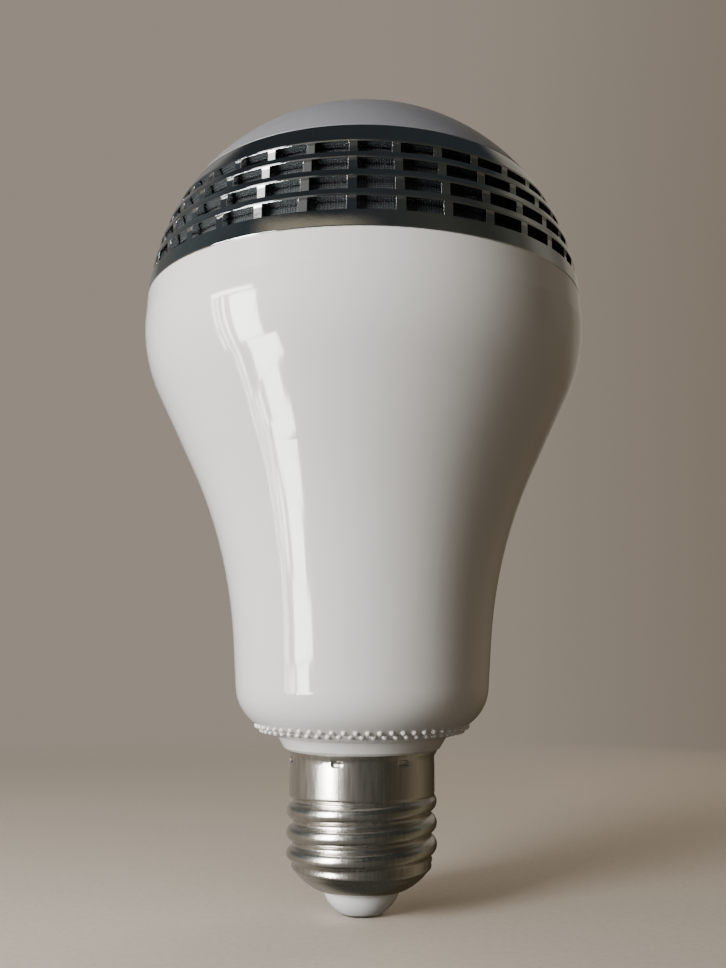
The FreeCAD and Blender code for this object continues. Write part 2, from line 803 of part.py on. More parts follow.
def grille_ring():
    """The plated ring, with its columns of slots cut by one pocket and a polar pattern."""
    corners, arcs = grille_outline()
    # The last edge is the inner arc, so the outline starts where that arc does.
    corners = corners[-1:] + corners[:-1]
    arcs = {(place + 1) % len(corners): arc for place, arc in arcs.items()}
    body = revolved("grille_ring", corners, arcs)
    before = body.Shape.Volume
    sketch = new_sketch(body, "slot_column", "XZ_Plane")
    half = "(180 / slot_columns - post_angle / 2)"
    for row in range(int(size("slot_rows"))):
        top = "slot_top_z - %d * slot_pitch" % row
        low = top + " - slot_height"
        reach = "(sqrt(ball_radius ^ 2 - (%s - ball_z) ^ 2) - post_recess) * sin(%s)" % (top, half)
        rectangle = [("-(%s)" % reach, low), (reach, low), (reach, top), ("-(%s)" % reach, top)]
        draw_outline(sketch, rectangle, {})
    pocket = body.newObject("PartDesign::Pocket", "slot_pocket")
    pocket.Profile = sketch
    pocket.Reversed = True
    bind(pocket, "Length", "ball_radius + 1")
    doc.recompute()
    repeat_round_axis(body, pocket, "slot_pattern", int(size("slot_columns")))
    if body.Shape.Volume > 0.9 * before:
        raise ValueError("the grille's slots were not cut")
    turn = FreeCAD.Rotation(FreeCAD.Vector(0, 0, 1), size("slot_bearing"))
    body.Placement = FreeCAD.Placement(FreeCAD.Vector(0, 0, 0), turn)


def acoustic_cloth():
    """The dark cloth band behind the slots, a little inside the ring."""
    ball = ("0", "ball_z")
    outer = "ball_radius - grille_wall - cloth_gap"
    inner = outer + " - cloth_thickness"
    on_ball = "sqrt((%s) ^ 2 - (%s - ball_z) ^ 2)"
    revolved(
        "acoustic_cloth",
        [
            (on_ball % (inner, "cloth_low_z"), "cloth_low_z"),
            (on_ball % (outer, "cloth_low_z"), "cloth_low_z"),
            (None, "cloth_high_z"),
            (on_ball % (inner, "cloth_high_z"), "cloth_high_z"),
        ],
        {1: ball + (1,), 3: ball + (-1,)},
    )


def diffuser_dome():
    """The frosted dome: the sphere's top, with a spigot that drops into the ring."""
    ball = ("0", "ball_z")
    inner = "ball_radius - dome_wall"
    revolved(
        "diffuser_dome",
        [
            ("0", "ball_z + " + inner),
            ("0", "ball_z + ball_radius"),
            (None, "dome_seat_z + seam_chamfer"),
            ("sqrt(ball_radius ^ 2 - (dome_seat_z - ball_z) ^ 2) - seam_chamfer", "dome_seat_z"),
            ("dome_spigot_radius", "dome_seat_z"),
            ("dome_spigot_radius", "dome_spigot_z"),
            ("dome_spigot_bore", "dome_spigot_z"),
            ("dome_spigot_bore", "ball_z + sqrt((%s) ^ 2 - dome_spigot_bore ^ 2)" % inner),
        ],
        {1: ball + (-1,), 7: ball + (1,)},
    )


# ---------------------------------------------------------------- light engine


def light_disc(label, radius, low, thickness):
    """A disc of the light engine, drilled for its three screws and for the lamp's wires."""
    disc = cylinder(label + "_disc", radius, thickness, ("0", "0"), low)
    top = "(%s) + (%s)" % (low, thickness)
    holes = drilled(label + "_hole", "light_hole_radius", "light_screw_ring", LIGHT_SCREW_ANGLES, low, top)
    holes += drilled(label + "_way", "led_wire_hole * 1.2", "led_wire_ring", (0,), low, top)
    keep(cut(label, disc, holes), label)


def chips(label, lengths, ring, angles):
    """Flat chips on the board, each square to its own radius."""
    made = []
    for angle in angles:
        item = doc.addObject("Part::Box", "%s_%s_%d" % (label, ring, angle))
        for prop, formula in zip(("Length", "Width", "Height"), lengths):
            bind(item, prop, formula)
        cosine, sine = "cos(%d)" % angle, "sin(%d)" % angle
        near, half = "(%s - %s / 2)" % (ring, lengths[0]), "%s / 2" % lengths[1]
        item.Placement.Rotation = FreeCAD.Rotation(FreeCAD.Vector(0, 0, 1), angle)
        bind(item, ".Placement.Base.x", "%s * %s + %s * %s" % (near, cosine, half, sine))
        bind(item, ".Placement.Base.y", "%s * %s - %s * %s" % (near, sine, half, cosine))
        bind(item, ".Placement.Base.z", "board_low_z + board_thickness")
        made.append(item)
    return made


def light_engine():
    pad_low = "board_low_z - pad_thickness"
    spreader_low = pad_low + " - spreader_thickness"
    light_disc("led_board", "board_radius", "board_low_z", "board_thickness")
    light_disc("thermal_pad", "pad_radius", pad_low, "pad_thickness")
    light_disc("heat_spreader", "spreader_radius", spreader_low, "spreader_thickness")
    white = ("chip_wide", "chip_long", "chip_high")
    outer = chips("white", white, "outer_chip_ring", range(24, 360, 24))
    inner = chips("white", white, "inner_chip_ring", range(0, 360, 45))
    grouped("white_leds", outer + inner)
    colour = ("colour_chip_size", "colour_chip_size", "colour_chip_height")
    grouped("colour_leds", chips("colour", colour, "colour_chip_ring", range(45, 360, 90)))
    top = "board_low_z + board_thickness"
    plug_place = ("led_plug_ring", "0")
    lengths = ("led_plug_length", "led_plug_width", "led_plug_height")
    block = box("led_connector_block", lengths, plug_place, top)
    key = box("led_connector_key", ("4", "2", "led_plug_key"), plug_place, top + " + led_plug_height")
    keep(fused("led_connector", [block, key]), "led_connector")
    screws(
        "light_screws", "light_screw_ring", LIGHT_SCREW_ANGLES, top, "light_screw_length",
        "light_screw_radius", "light_screw_head", "small_screw_head_height",
    )


# ---------------------------------------------------------------- baffle plate and loudspeaker


def baffle_plate():
    """The plate across the lamp that the loudspeaker hangs from, with three pillars that carry the light."""
    spreader_low = "board_low_z - pad_thickness - spreader_thickness"
    plate = cylinder("baffle_disc", "baffle_radius", "seam_z - ledge_top_z", ("0", "0"), "ledge_top_z")
    pillars = drilled(
        "pillar", "pillar_radius", "light_screw_ring", LIGHT_SCREW_ANGLES, "seam_z", spreader_low
    )
    solid = fused("baffle_solid", [plate] + pillars)
    tools = [cylinder("baffle_mouth", "baffle_hole", "20", ("0", "0"), "ledge_top_z - 1")]
    tools += drilled(
        "pillar_hole", "light_hole_radius", "light_screw_ring", LIGHT_SCREW_ANGLES,
        "board_low_z + board_thickness - light_screw_length - 1", spreader_low,
    )
    tools += drilled(
        "baffle_drill", "small_hole_radius", "baffle_screw_ring", BAFFLE_SCREW_ANGLES, "ledge_top_z", "seam_z"
    )
    tools += drilled("baffle_way", "led_wire_hole * 2", "baffle_way_ring", (0,), "ledge_top_z", "seam_z")
    tools += drilled(
        "flange_drill", "small_hole_radius", "speaker_screw_ring", SPEAKER_SCREW_ANGLES,
        "ledge_top_z", "seam_z",
    )
    keep(cut("baffle_plate", solid, tools), "baffle_plate")
    screws(
        "baffle_screws", "baffle_screw_ring", BAFFLE_SCREW_ANGLES, "seam_z", "baffle_screw_length",
        "small_screw_radius", "small_screw_head", "small_screw_head_height",
    )


def speaker_frame():
    """Gasket, basket, terminals and screws: the fixed frame of the loudspeaker."""
    gasket = cylinder("gasket_disc", "gasket_radius", "gasket_thickness", ("0", "0"), "flange_top_z")
    mouth = cylinder("gasket_mouth", "gasket_bore", "gasket_thickness", ("0", "0"), "flange_top_z")
    holes = drilled(
        "gasket_hole", "small_hole_radius", "speaker_screw_ring", SPEAKER_SCREW_ANGLES,
        "flange_top_z", "flange_top_z + gasket_thickness",
    )
    keep(cut("speaker_gasket", gasket, [mouth] + holes), "speaker_gasket")
    speaker_basket()
    flange_low = "flange_top_z - flange_thickness"
    strip_low = flange_low + " - strip_height"
    strip = box("strip_block", ("2.4", "8", "strip_height"), ("-strip_place", "0"), strip_low)
    tags = box("strip_tags", ("0.5", "5", "2"), ("-strip_place - 1.3", "0"), strip_low + " + 1")
    keep(fused("terminal_strip", [strip, tags]), "terminal_strip")
    screws(
        "speaker_screws", "speaker_screw_ring", SPEAKER_SCREW_ANGLES, flange_low, "speaker_screw_length",
        "small_screw_radius", "speaker_screw_head", "small_screw_head_height", True,
    )


def speaker_basket():
    """A pressed basket: a flange, a cone with four windows and a seat on the top plate."""
    flange_low = "flange_top_z - flange_thickness"
    body = revolved(
        "speaker_basket",
        [
            ("basket_low_bore", "basket_low_z"),
            ("basket_low_radius", "basket_low_z"),
            ("basket_high_radius", flange_low + " - 1"),
            ("basket_high_radius", flange_low),
            ("flange_radius", flange_low),
            ("flange_radius", "flange_top_z"),
            ("basket_high_radius - basket_wall", "flange_top_z"),
            ("basket_high_radius - basket_wall", flange_low + " - 0.7"),
            ("basket_low_radius - basket_wall / 2", "basket_low_z + basket_wall"),
            ("basket_low_bore", "basket_low_z + basket_wall"),
        ],
    )
    for plane in ("XZ_Plane", "YZ_Plane"):
        before = body.Shape.Volume
        sketch = new_sketch(body, "window_" + plane, plane)
        half = "basket_window_width / 2"
        corners = [
            ("-(%s) * 0.6" % half, "basket_low_z + 4.4"),
            ("(%s) * 0.6" % half, "basket_low_z + 4.4"),
            (half, flange_low + " - 1.8"),
            ("-(%s)" % half, flange_low + " - 1.8"),
        ]
        draw_outline(sketch, corners, {})
        pocket = body.newObject("PartDesign::Pocket", "window_pocket_" + plane)
        pocket.Profile = sketch
        pocket.Type = "ThroughAll"
        pocket.Midplane = True
        doc.recompute()
        if body.Shape.Volume > before - 1:
            raise ValueError("a basket window cut nothing")
    depth = "flange_thickness + 0.5"
    drill_ring(body, "flange_hole", "speaker_screw_ring", "flange_top_z", depth, SPEAKER_SCREW_ANGLES)


def speaker_motor():
    """The magnet between the top plate and the yoke, whose pole stands in the coil."""
    plate_low = "basket_low_z - top_plate_thickness"
    magnet_low = plate_low + " - magnet_thickness"
    yoke_low = magnet_low + " - yoke_thickness"
    plate = ring_corners("top_plate_bore", "top_plate_radius", plate_low, "basket_low_z")
    revolved("speaker_top_plate", plate)
    revolved("speaker_magnet", ring_corners("magnet_bore", "magnet_radius", magnet_low, plate_low))
    revolved(
        "speaker_yoke",
        [
            ("0", yoke_low),
            ("top_plate_radius", yoke_low),
            ("top_plate_radius", magnet_low),
            ("pole_radius", magnet_low),
            ("pole_radius", "basket_low_z"),
            ("0", "basket_low_z"),
        ],
    )


def moving_parts():
    """Former, coil, cone and dust cap: what the loudspeaker moves along Z."""
    former = ring_corners("former_bore", "former_radius", "former_low_z", "former_top_z")
    revolved("voice_coil_former", former)
    coil_top = "former_low_z + coil_height"
    coil = ring_corners("former_radius + coil_clearance", "coil_radius", "former_low_z", coil_top)
    revolved("voice_coil", coil)
    revolved(
        "speaker_cone",
        [
            ("cone_neck_radius", "cone_neck_z"),
            ("cone_rim_radius", "cone_rim_z"),
            ("cone_rim_radius", "cone_rim_z + cone_thickness"),
            ("cone_neck_radius", "cone_neck_z + cone_thickness"),
        ],
    )
    rise = "sqrt(cap_arc ^ 2 - cap_rim_radius ^ 2)"
    centre_z = "(cap_rim_z - %s)" % rise
    inner = "(cap_arc - cap_thickness)"
    revolved(
        "dust_cap",
        [
            ("0", "%s + %s" % (centre_z, inner)),
            ("0", centre_z + " + cap_arc"),
            (None, "cap_rim_z"),
            ("sqrt(%s ^ 2 - (cap_rim_z - %s) ^ 2)" % (inner, centre_z), "cap_rim_z"),
        ],
        {1: ("0", centre_z, -1), 3: ("0", centre_z, 1)},
    )


def suspension():
    """The rubber roll and the corrugated spider, which flex between the frame and what moves."""
    roll = ("roll_centre", "flange_top_z")
    lip_top = "flange_top_z + roll_thickness"
    reach = "(roll_radius + roll_thickness)"
    revolved(
        "surround",
        [
            ("cone_rim_radius - roll_overlap", "flange_top_z"),
            ("roll_centre - roll_radius", "flange_top_z"),
            ("roll_centre + roll_radius", "flange_top_z"),
            ("basket_high_radius", "flange_top_z"),
            ("basket_high_radius", lip_top),
            ("roll_centre + sqrt(%s ^ 2 - roll_thickness ^ 2)" % reach, lip_top),
            ("roll_centre - sqrt(%s ^ 2 - roll_thickness ^ 2)" % reach, lip_top),
            ("cone_rim_radius - roll_overlap", lip_top),
        ],
        {1: roll + (-1,), 5: roll + (1,)},
    )
    waves = 5
    lower, upper = [], []
    for step in range(2 * waves + 1):
        across = "cone_neck_radius + (spider_radius - cone_neck_radius) * %d / %d" % (step, 2 * waves)
        rise = "spider_wave" if step % 2 else "0 * spider_wave"
        lower.append((across, "spider_z + %s" % rise))
        upper.append((across, "spider_z + spider_thickness + %s" % rise))
    revolved("spider", lower + upper[::-1])


# ---------------------------------------------------------------- chassis and boards


def board(label, width, thickness, y, low):
    """An upright board, with a tab that enters the chassis plate."""
    plate = box(label + "_plate", (width, thickness, "chassis_low_z - " + low), ("0", y), low)
    tab = box(label + "_tab", ("tab_width", thickness, "chassis_thickness"), ("0", y), "chassis_low_z")
    keep(fused(label, [plate, tab]), label)


def chassis():
    """The plate that the boards hang from, its screws and the boards."""
    low, high = "chassis_low_z", "chassis_low_z + chassis_thickness"
    plate = cylinder("chassis_disc", "chassis_radius", "chassis_thickness", ("0", "0"), low)
    tools = drilled(
        "chassis_drill", "small_hole_radius", "chassis_screw_ring", CHASSIS_SCREW_ANGLES, low, high
    )
    tools += drilled("cable_hole", "cable_hole_radius", "cable_hole_place", (0, 180), low, high)
    for name in ("power", "control"):
        depth = name + "_thickness + 2 * tab_clearance"
        lengths = ("tab_width + 2 * tab_clearance", depth, "chassis_thickness")
        tools.append(box(name + "_slot", lengths, ("0", name + "_y"), low))
    keep(cut("chassis_plate", plate, tools), "chassis_plate")
    screws(
        "chassis_screws", "chassis_screw_ring", CHASSIS_SCREW_ANGLES, high, "chassis_screw_length",
        "small_screw_radius", "small_screw_head", "small_screw_head_height",
    )
    board("power_board", "power_width", "power_thickness", "power_y", "power_low_z")
    board("control_board", "control_width", "control_thickness", "control_y", "control_low_z")


def component(label, name, face, side):
    """A block of the components' table on a board's face: side 1 is behind the board, -1 in front."""
    lengths = (name + "_length", name + "_depth", name + "_height")
    centre = (name + "_across", "%s + (%d) * %s_depth / 2" % (face, side, name))
    return box(label, lengths, centre, name + "_low")


def chip(label, name, face, side, legs):
    """A chip package with its rows of short legs at the two sides."""
    reach, wide, tall = 1.6, 0.3, 0.4
    made = [component(label + "_package", name, face, side)]
    centre = (name + "_across", "%s + (%d) * %s_depth / 2" % (face, side, name))
    for row in range(legs):
        low = "%s_low + %s_height * (%d + 0.5) / %d - %s / 2" % (name, name, row, legs, tall)
        lengths = ("%s_length + %s" % (name, reach), str(wide), str(tall))
        made.append(box("%s_leg_%d" % (label, row), lengths, centre, low))
    keep(fused(label, made), label)


def can(label, radius, height, centre, low):
    """A round capacitor: its can, with a rolled groove near its lower end."""
    groove_z, groove_width = "(%s) + 1.6" % low, "0.7"
    wide = cylinder(label + "_can", radius, height, centre, low)
    ring = cylinder(label + "_ring", radius + " + 1", groove_width, centre, groove_z)
    core = cylinder(label + "_core", radius + " - 0.3", groove_width, centre, groove_z)
    keep(cut(label, wide, [cut(label + "_groove", ring, [core])]), label)


def transformer(front):
    """A ferrite frame with a round middle leg, and the winding on that leg."""
    centre = ("core_across", front + " - core_depth / 2 - 0.3")
    window_low, window_height, leg = "core_low + 2.5", "core_height - 5", "2.4"
    block = box("core_block", ("core_length", "core_depth", "core_height"), centre, "core_low")
    window = box("core_window", ("core_length - 5", "core_depth", window_height), centre, window_low)
    post = cylinder("core_leg", leg, window_height, centre, window_low)
    keep(fused("transformer_core", [cut("core_frame", block, [window]), post]), "transformer_core")
    low, height = window_low + " + 0.1", window_height + " - 0.2"
    coil = cylinder("winding_coil", "5.3", height, centre, low)
    bore = cylinder("winding_bore", leg + " + 0.1", height, centre, low)
    keep(cut("transformer_winding", coil, [bore]), "transformer_winding")


def power_parts():
    """What stands on the power board: the transformer and tall parts in front, the flat ones behind."""
    front = "power_y - power_thickness / 2"
    back = "power_y + power_thickness / 2"
    transformer(front)
    can("input_capacitor", "4", "13", ("-9.5", front + " - 4.1"), "38")
    can("output_capacitor", "3.2", "12", ("9.8", front + " - 3.3"), "38")
    middle = ("0", front + " - 3.1")
    spool = [
        cylinder("choke_foot", "3", "1", middle, "37"),
        cylinder("choke_coil", "2.5", "6", middle, "38"),
        cylinder("choke_head", "3", "1", middle, "44"),
    ]
    keep(fused("filter_choke", spool), "filter_choke")
    keep(component("safety_capacitor", "safety", front, -1), "safety_capacitor")
    beside = ("-14", front + " - 1.9")
    fuse = [
        cylinder("fuse_body", "1.5", "7", beside, "54"),
        cylinder("fuse_low_lead", "0.4", "1.5", beside, "52.5"),
        cylinder("fuse_high_lead", "0.4", "1.5", beside, "61"),
    ]
    keep(fused("fuse_resistor", fuse), "fuse_resistor")
    keep(component("bridge_rectifier", "bridge", back, 1), "bridge_rectifier")
    chip("switching_chip", "switcher", back, 1, 4)


def aerial(face):
    """The radio's printed aerial: upright runs joined by short links, alternately at top and bottom."""
    runs, pitch, width, thickness, height, low = 6, 2.0, 0.6, 0.12, 4.0, 66.8
    centre_y = "%s + radio_depth + %s / 2" % (face, thickness)
    track = []
    for turn in range(runs):
        x = pitch * (turn - (runs - 1) / 2)
        lengths = (str(width), str(thickness), str(height))
        track.append(box("aerial_run_%d" % turn, lengths, (str(x), centre_y), str(low)))
        if turn + 1 < runs:
            z = low + (height - width if turn % 2 else 0)
            lengths = (str(pitch + width), str(thickness), str(width))
            track.append(box("aerial_link_%d" % turn, lengths, (str(x + pitch / 2), centre_y), str(z)))
    keep(fused("antenna", track), "antenna")


def control_parts():
    """What the control board carries: the radio with its can and aerial, the amplifier and the sockets."""
    back = "control_y + control_thickness / 2"
    front = "control_y - control_thickness / 2"
    keep(component("radio_module", "radio", back, 1), "radio_module")
    keep(component("shield_can", "shield", back + " + radio_depth", 1), "shield_can")
    aerial(back)
    chip("amplifier_chip", "amplifier", front, -1, 5)
    keep(component("crystal", "clock", front, -1), "crystal")
    cans = []
    for name, across in (("left", "-9"), ("right", "9")):
        item = cylinder("audio_can_" + name, "2.5", "5.8", (across, back), "45")
        item.Placement.Rotation = FreeCAD.Rotation(FreeCAD.Vector(1, 0, 0), -90)
        cans.append(item)
    grouped("audio_capacitors", cans)
    names = ("speaker_socket", "light_socket", "power_socket")
    grouped("board_connectors", [component(name, name, front, -1) for name in names])


# ---------------------------------------------------------------- wires


def mains_wires():
    """The live wire from the tip's stem and the neutral wire from inside the shell, to the power board."""
    solder_y = size("power_y + power_thickness / 2")
    stem = size("tip_stem_top")
    live = [(0, 0, stem), (0, 0, 15), (-2.5, 1.5, 22), (-4.5, 2, 31), (-5, 0.5, 40), (-5, solder_y, 40)]
    neutral = [(11.3, 0, 16.5), (7, 0, 17.5), (4.5, 1.5, 24), (4.8, 2, 31), (5, 0.5, 40), (5, solder_y, 40)]
    wires("live_wire", [live], 0.7)
    wires("neutral_wire", [neutral], 0.6)


def board_wires():
    """Three short wires from the power board to the control board's lower socket."""
    power_back = size("power_y + power_thickness / 2")
    socket = size("control_y - control_thickness / 2 - power_socket_depth")
    solder_z, socket_z, straight = 42, 45, 2.6
    routes = []
    for x in (-2.5, 0.0, 2.5):
        leave = [(x, power_back, solder_z), (x, power_back + straight, solder_z)]
        arrive = [(x, socket - straight, socket_z), (x, socket, socket_z)]
        routes.append(leave + arrive)
    wires("dc_wires", routes, 0.5)


def speaker_wires():
    """A pair from the left socket, out through the chassis plate, to the loudspeaker's terminals."""
    y = size("control_y - control_thickness / 2 - light_socket_depth / 2")
    socket_top = size("light_socket_low + light_socket_height")
    strip_low = size("flange_top_z - flange_thickness - strip_height")
    routes = []
    for side in (-0.8, 0.8):
        routes.append(
            [
                (-12 + side, y, socket_top),
                (-12 + side, y, 70),
                (-22.4, side + 1.2, 74),
                (-22.6, side + 0.4, 82),
                (-24, side, 91),
                (-24, side, strip_low),
            ]
        )
    wires("speaker_wires", routes, 0.5)


def led_wires():
    """A pair from the right socket, up past the loudspeaker and the baffle, to the light's connector."""
    y = size("control_y - control_thickness / 2 - light_socket_depth / 2")
    socket_top = size("light_socket_low + light_socket_height")
    spreader_low = size("board_low_z - pad_thickness - spreader_thickness")
    ring = size("led_wire_ring")
    plug_z = size("board_low_z + board_thickness + led_plug_height / 2") + 0.1
    plug_face = size("led_plug_ring + led_plug_length / 2")
    routes = []
    for side in (-0.55, 0.55):
        routes.append(
            [
                (12 + side, y, socket_top),
                (12 + side, y, 70),
                (22.4, side + 1.2, 74),
                (23.4, side + 0.6, 83),
                (30.4, side, 93),
                (30.5, side, 104),
                (30.4, side, 113),
                (ring, side, spreader_low),
                (ring, side, plug_z),
                (plug_face, side, plug_z),
            ]
        )
    wires("led_wires", routes, 0.45)


# ---------------------------------------------------------------- the whole lamp


def check_document():
    """Stop if an object failed or a piece is not a sound solid."""
    doc.recompute()
    for item in doc.Objects:
        if "Invalid" in item.State or "Error" in item.State:
            raise ValueError("%s is %s" % (item.Name, item.State))
    for item in pieces:
        shape = item.Shape
        if shape.isNull() or not shape.isValid() or not shape.Solids:
            raise ValueError(item.Label + " has no valid solid")


def main():
    fill_sheet()
    tip_contact()
    cap_insulator()
    screw_shell()
    housing()
    grille_ring()
    acoustic_cloth()
    diffuser_dome()
    light_engine()
    baffle_plate()
    speaker_frame()
    speaker_motor()
    moving_parts()
    suspension()
    chassis()
    power_parts()
    control_parts()
    mains_wires()
    board_wires()
    speaker_wires()
    led_wires()
    check_document()
    os.makedirs("parts", exist_ok=True)
    for item in pieces:
        item.Shape.exportStep("parts/%s.step" % item.Label)
    print(len(pieces), "pieces")


main()
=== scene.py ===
import json
import math

import bpy
import bmesh
from mathutils import Matrix, Vector
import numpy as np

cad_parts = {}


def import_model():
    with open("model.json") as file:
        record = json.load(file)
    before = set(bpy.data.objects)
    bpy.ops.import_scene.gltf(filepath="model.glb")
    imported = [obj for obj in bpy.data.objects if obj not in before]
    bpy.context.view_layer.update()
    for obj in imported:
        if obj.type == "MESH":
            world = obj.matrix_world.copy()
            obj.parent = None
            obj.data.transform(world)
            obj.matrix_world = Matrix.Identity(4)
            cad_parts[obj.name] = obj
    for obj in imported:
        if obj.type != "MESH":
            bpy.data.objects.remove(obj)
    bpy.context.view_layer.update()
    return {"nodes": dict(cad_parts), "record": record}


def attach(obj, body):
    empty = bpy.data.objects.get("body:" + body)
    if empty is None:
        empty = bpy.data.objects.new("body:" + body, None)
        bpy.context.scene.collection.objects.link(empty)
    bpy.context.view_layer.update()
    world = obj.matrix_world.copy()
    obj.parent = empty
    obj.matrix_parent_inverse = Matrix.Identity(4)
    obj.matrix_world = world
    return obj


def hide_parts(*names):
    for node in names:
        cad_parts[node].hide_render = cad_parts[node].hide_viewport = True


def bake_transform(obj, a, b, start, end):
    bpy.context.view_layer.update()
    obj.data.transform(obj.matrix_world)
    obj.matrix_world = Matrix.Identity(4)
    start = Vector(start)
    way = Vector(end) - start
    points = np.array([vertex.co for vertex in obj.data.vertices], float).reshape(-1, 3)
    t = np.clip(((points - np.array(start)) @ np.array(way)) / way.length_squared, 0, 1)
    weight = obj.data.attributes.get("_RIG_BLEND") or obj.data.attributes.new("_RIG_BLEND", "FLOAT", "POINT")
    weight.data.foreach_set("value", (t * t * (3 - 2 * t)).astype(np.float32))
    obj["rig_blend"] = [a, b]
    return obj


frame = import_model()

NODES = frame["nodes"]
SLOTS = {part["node"]: part["material_slot"] for part in frame["record"]["subparts"]}

# ------------------------------------------------------------ camera, floor and light

# The camera as fitted to the photo, then the backdrop and the floor. Lengths are in metres.
CAMERA_PLACE = (0.0, -0.18336, 0.045)
CAMERA_PITCH = math.radians(9.22)
CAMERA_ROLL = math.radians(0.245)
CAMERA_LENS = 37.57
BACKDROP = (0.315, 0.272, 0.222)
BACKDROP_SHADE = (0.205, 0.170, 0.132)
FLOOR_FADE = (0.16, 0.34)
FLOOR_MARGIN = 1.2
FLOOR_TONES = ((0.50, 0.445, 0.375), (0.56, 0.50, 0.43))
LAMP_MIDDLE = (0.0, 0.0, 0.09)


def added(name, data):
    """A new object in the scene, made from its data."""
    item = bpy.data.objects.new(name, data)
    bpy.context.scene.collection.objects.link(item)
    return item


def camera():
    """The camera stands in front of the lamp, a little below its middle, and looks slightly up at it."""
    data = bpy.data.cameras.new("camera")
    data.lens = CAMERA_LENS
    data.sensor_width = 36.0
    data.sensor_fit = "AUTO"
    data.clip_start = 0.005
    eye = added("camera", data)
    eye.location = CAMERA_PLACE
    tilt = Matrix.Rotation(math.pi / 2 + CAMERA_PITCH, 4, "X") @ Matrix.Rotation(CAMERA_ROLL, 4, "Z")
    eye.rotation_euler = tilt.to_euler()
    bpy.context.scene.camera = eye


def floor():
    """A pale floor that the lamp's tip stands on. It fades out into the backdrop before its edge shows."""
    mesh = bpy.data.meshes.new("floor")
    half = FLOOR_FADE[1] * FLOOR_MARGIN
    corners = [(-half, -half, 0), (half, -half, 0), (half, half, 0), (-half, half, 0)]
    mesh.from_pydata(corners, [], [(0, 1, 2, 3)])
    ground = added("floor", mesh)
    paint = Paint("floor_paint", BACKDROP + (1,), 0.9)
    grain = paint.noise(900, 4)
    paint.tones(grain, *FLOOR_TONES)
    paint.bump([(grain, 0.08, 0.0002)])
    length = paint.nodes.new("ShaderNodeVectorMath")
    length.operation = "LENGTH"
    paint.links.new(paint.place, length.inputs[0])
    fade = paint.span(length.outputs["Value"], 1.0, 0.0, *FLOOR_FADE)
    paint.link(fade, "Alpha")
    mesh.materials.append(paint.material)
    ground.visible_glossy = False
    ground.visible_diffuse = False


def panel(name, place, target, width, height, power, colour=(1, 1, 1), lit=True, mirrored=True):
    """A softbox that the camera never sees. It may light the lamp, show in its gloss, or both."""
    data = bpy.data.lights.new(name, "AREA")
    data.shape = "RECTANGLE"
    data.size = width
    data.size_y = height
    data.energy = power
    data.color = colour
    lamp = added(name, data)
    lamp.location = place
    lamp.rotation_euler = (Vector(target) - Vector(place)).to_track_quat("-Z", "Y").to_euler()
    lamp.visible_camera = False
    lamp.visible_diffuse = lit
    lamp.visible_transmission = lit
    lamp.visible_glossy = mirrored


def around(bearing, elevation, distance):
    """A place by its bearing and elevation from the lamp's middle; front is 0 and right is positive."""
    turn = math.radians(bearing)
    rise = math.radians(elevation)
    flat = distance * math.cos(rise)
    x, y, z = LAMP_MIDDLE
    return (x + flat * math.sin(turn), y - flat * math.cos(turn), z + distance * math.sin(rise))


class Sky:
    """Small helpers for the world's nodes."""

    def __init__(self, tree):
        self.nodes = tree.nodes
        self.links = tree.links

    def math(self, operation, first, second=None):
        """One math operation on one or two values, each a number or another node's output."""
        node = self.nodes.new("ShaderNodeMath")
        node.operation = operation
        for place, value in enumerate((first, second)):
            if value is None:
                continue
            if isinstance(value, (int, float)):
                node.inputs[place].default_value = value
            else:
                self.links.new(value, node.inputs[place])
        return node.outputs[0]

    def ramp(self, value, low, high, stops):
        """A colour ramp over a value's range; each stop is a value and a colour."""
        node = self.nodes.new("ShaderNodeValToRGB")
        node.color_ramp.interpolation = "EASE"
        elements = node.color_ramp.elements
        while len(elements) < len(stops):
            elements.new(0.5)
        for element, (number, colour) in zip(elements, stops):
            element.position = (number - low) / (high - low)
            element.color = colour + (1,)
        share = self.nodes.new("ShaderNodeMapRange")
        share.inputs["From Min"].default_value = low
        share.inputs["From Max"].default_value = high
        self.links.new(value, share.inputs["Value"])
        self.links.new(share.outputs["Result"], node.inputs["Fac"])
        return node.outputs["Color"]

    def colour(self, value):
        """One plain colour."""
        node = self.nodes.new("ShaderNodeRGB")
        node.outputs[0].default_value = value + (1,)
        return node.outputs[0]

    def background(self, colour):
        """The light of one colour."""
        node = self.nodes.new("ShaderNodeBackground")
        self.links.new(colour, node.inputs["Color"])
        return node.outputs[0]

    def mixed(self, factor, first, second):
        """Two backgrounds, by a factor."""
        node = self.nodes.new("ShaderNodeMixShader")
        self.links.new(factor, node.inputs["Fac"])
        self.links.new(first, node.inputs[1])
        self.links.new(second, node.inputs[2])
        return node.outputs[0]

    def tinted(self, factor, first, second):
        """Two colours, by a factor."""
        node = self.nodes.new("ShaderNodeMix")
        node.data_type = "RGBA"
        self.links.new(factor, node.inputs[0])
        self.links.new(first, node.inputs[6])
        self.links.new(second, node.inputs[7])
        return node.outputs[2]


# What the eye sees of the backdrop, with painted shade that darkens it to the right, and the soft light that
# falls on the lamp, from left to right.
BACKDROP_REACH = 0.45
SEEN_STOPS = [(-BACKDROP_REACH, BACKDROP), (0.0, BACKDROP), (BACKDROP_REACH, BACKDROP_SHADE)]
FELT_STOPS = [
    (-1.0, (0.38, 0.38, 0.37)),
    (-0.2, (0.15, 0.145, 0.14)),
    (0.3, (0.060, 0.050, 0.038)),
    (1.0, (0.155, 0.126, 0.090)),
]
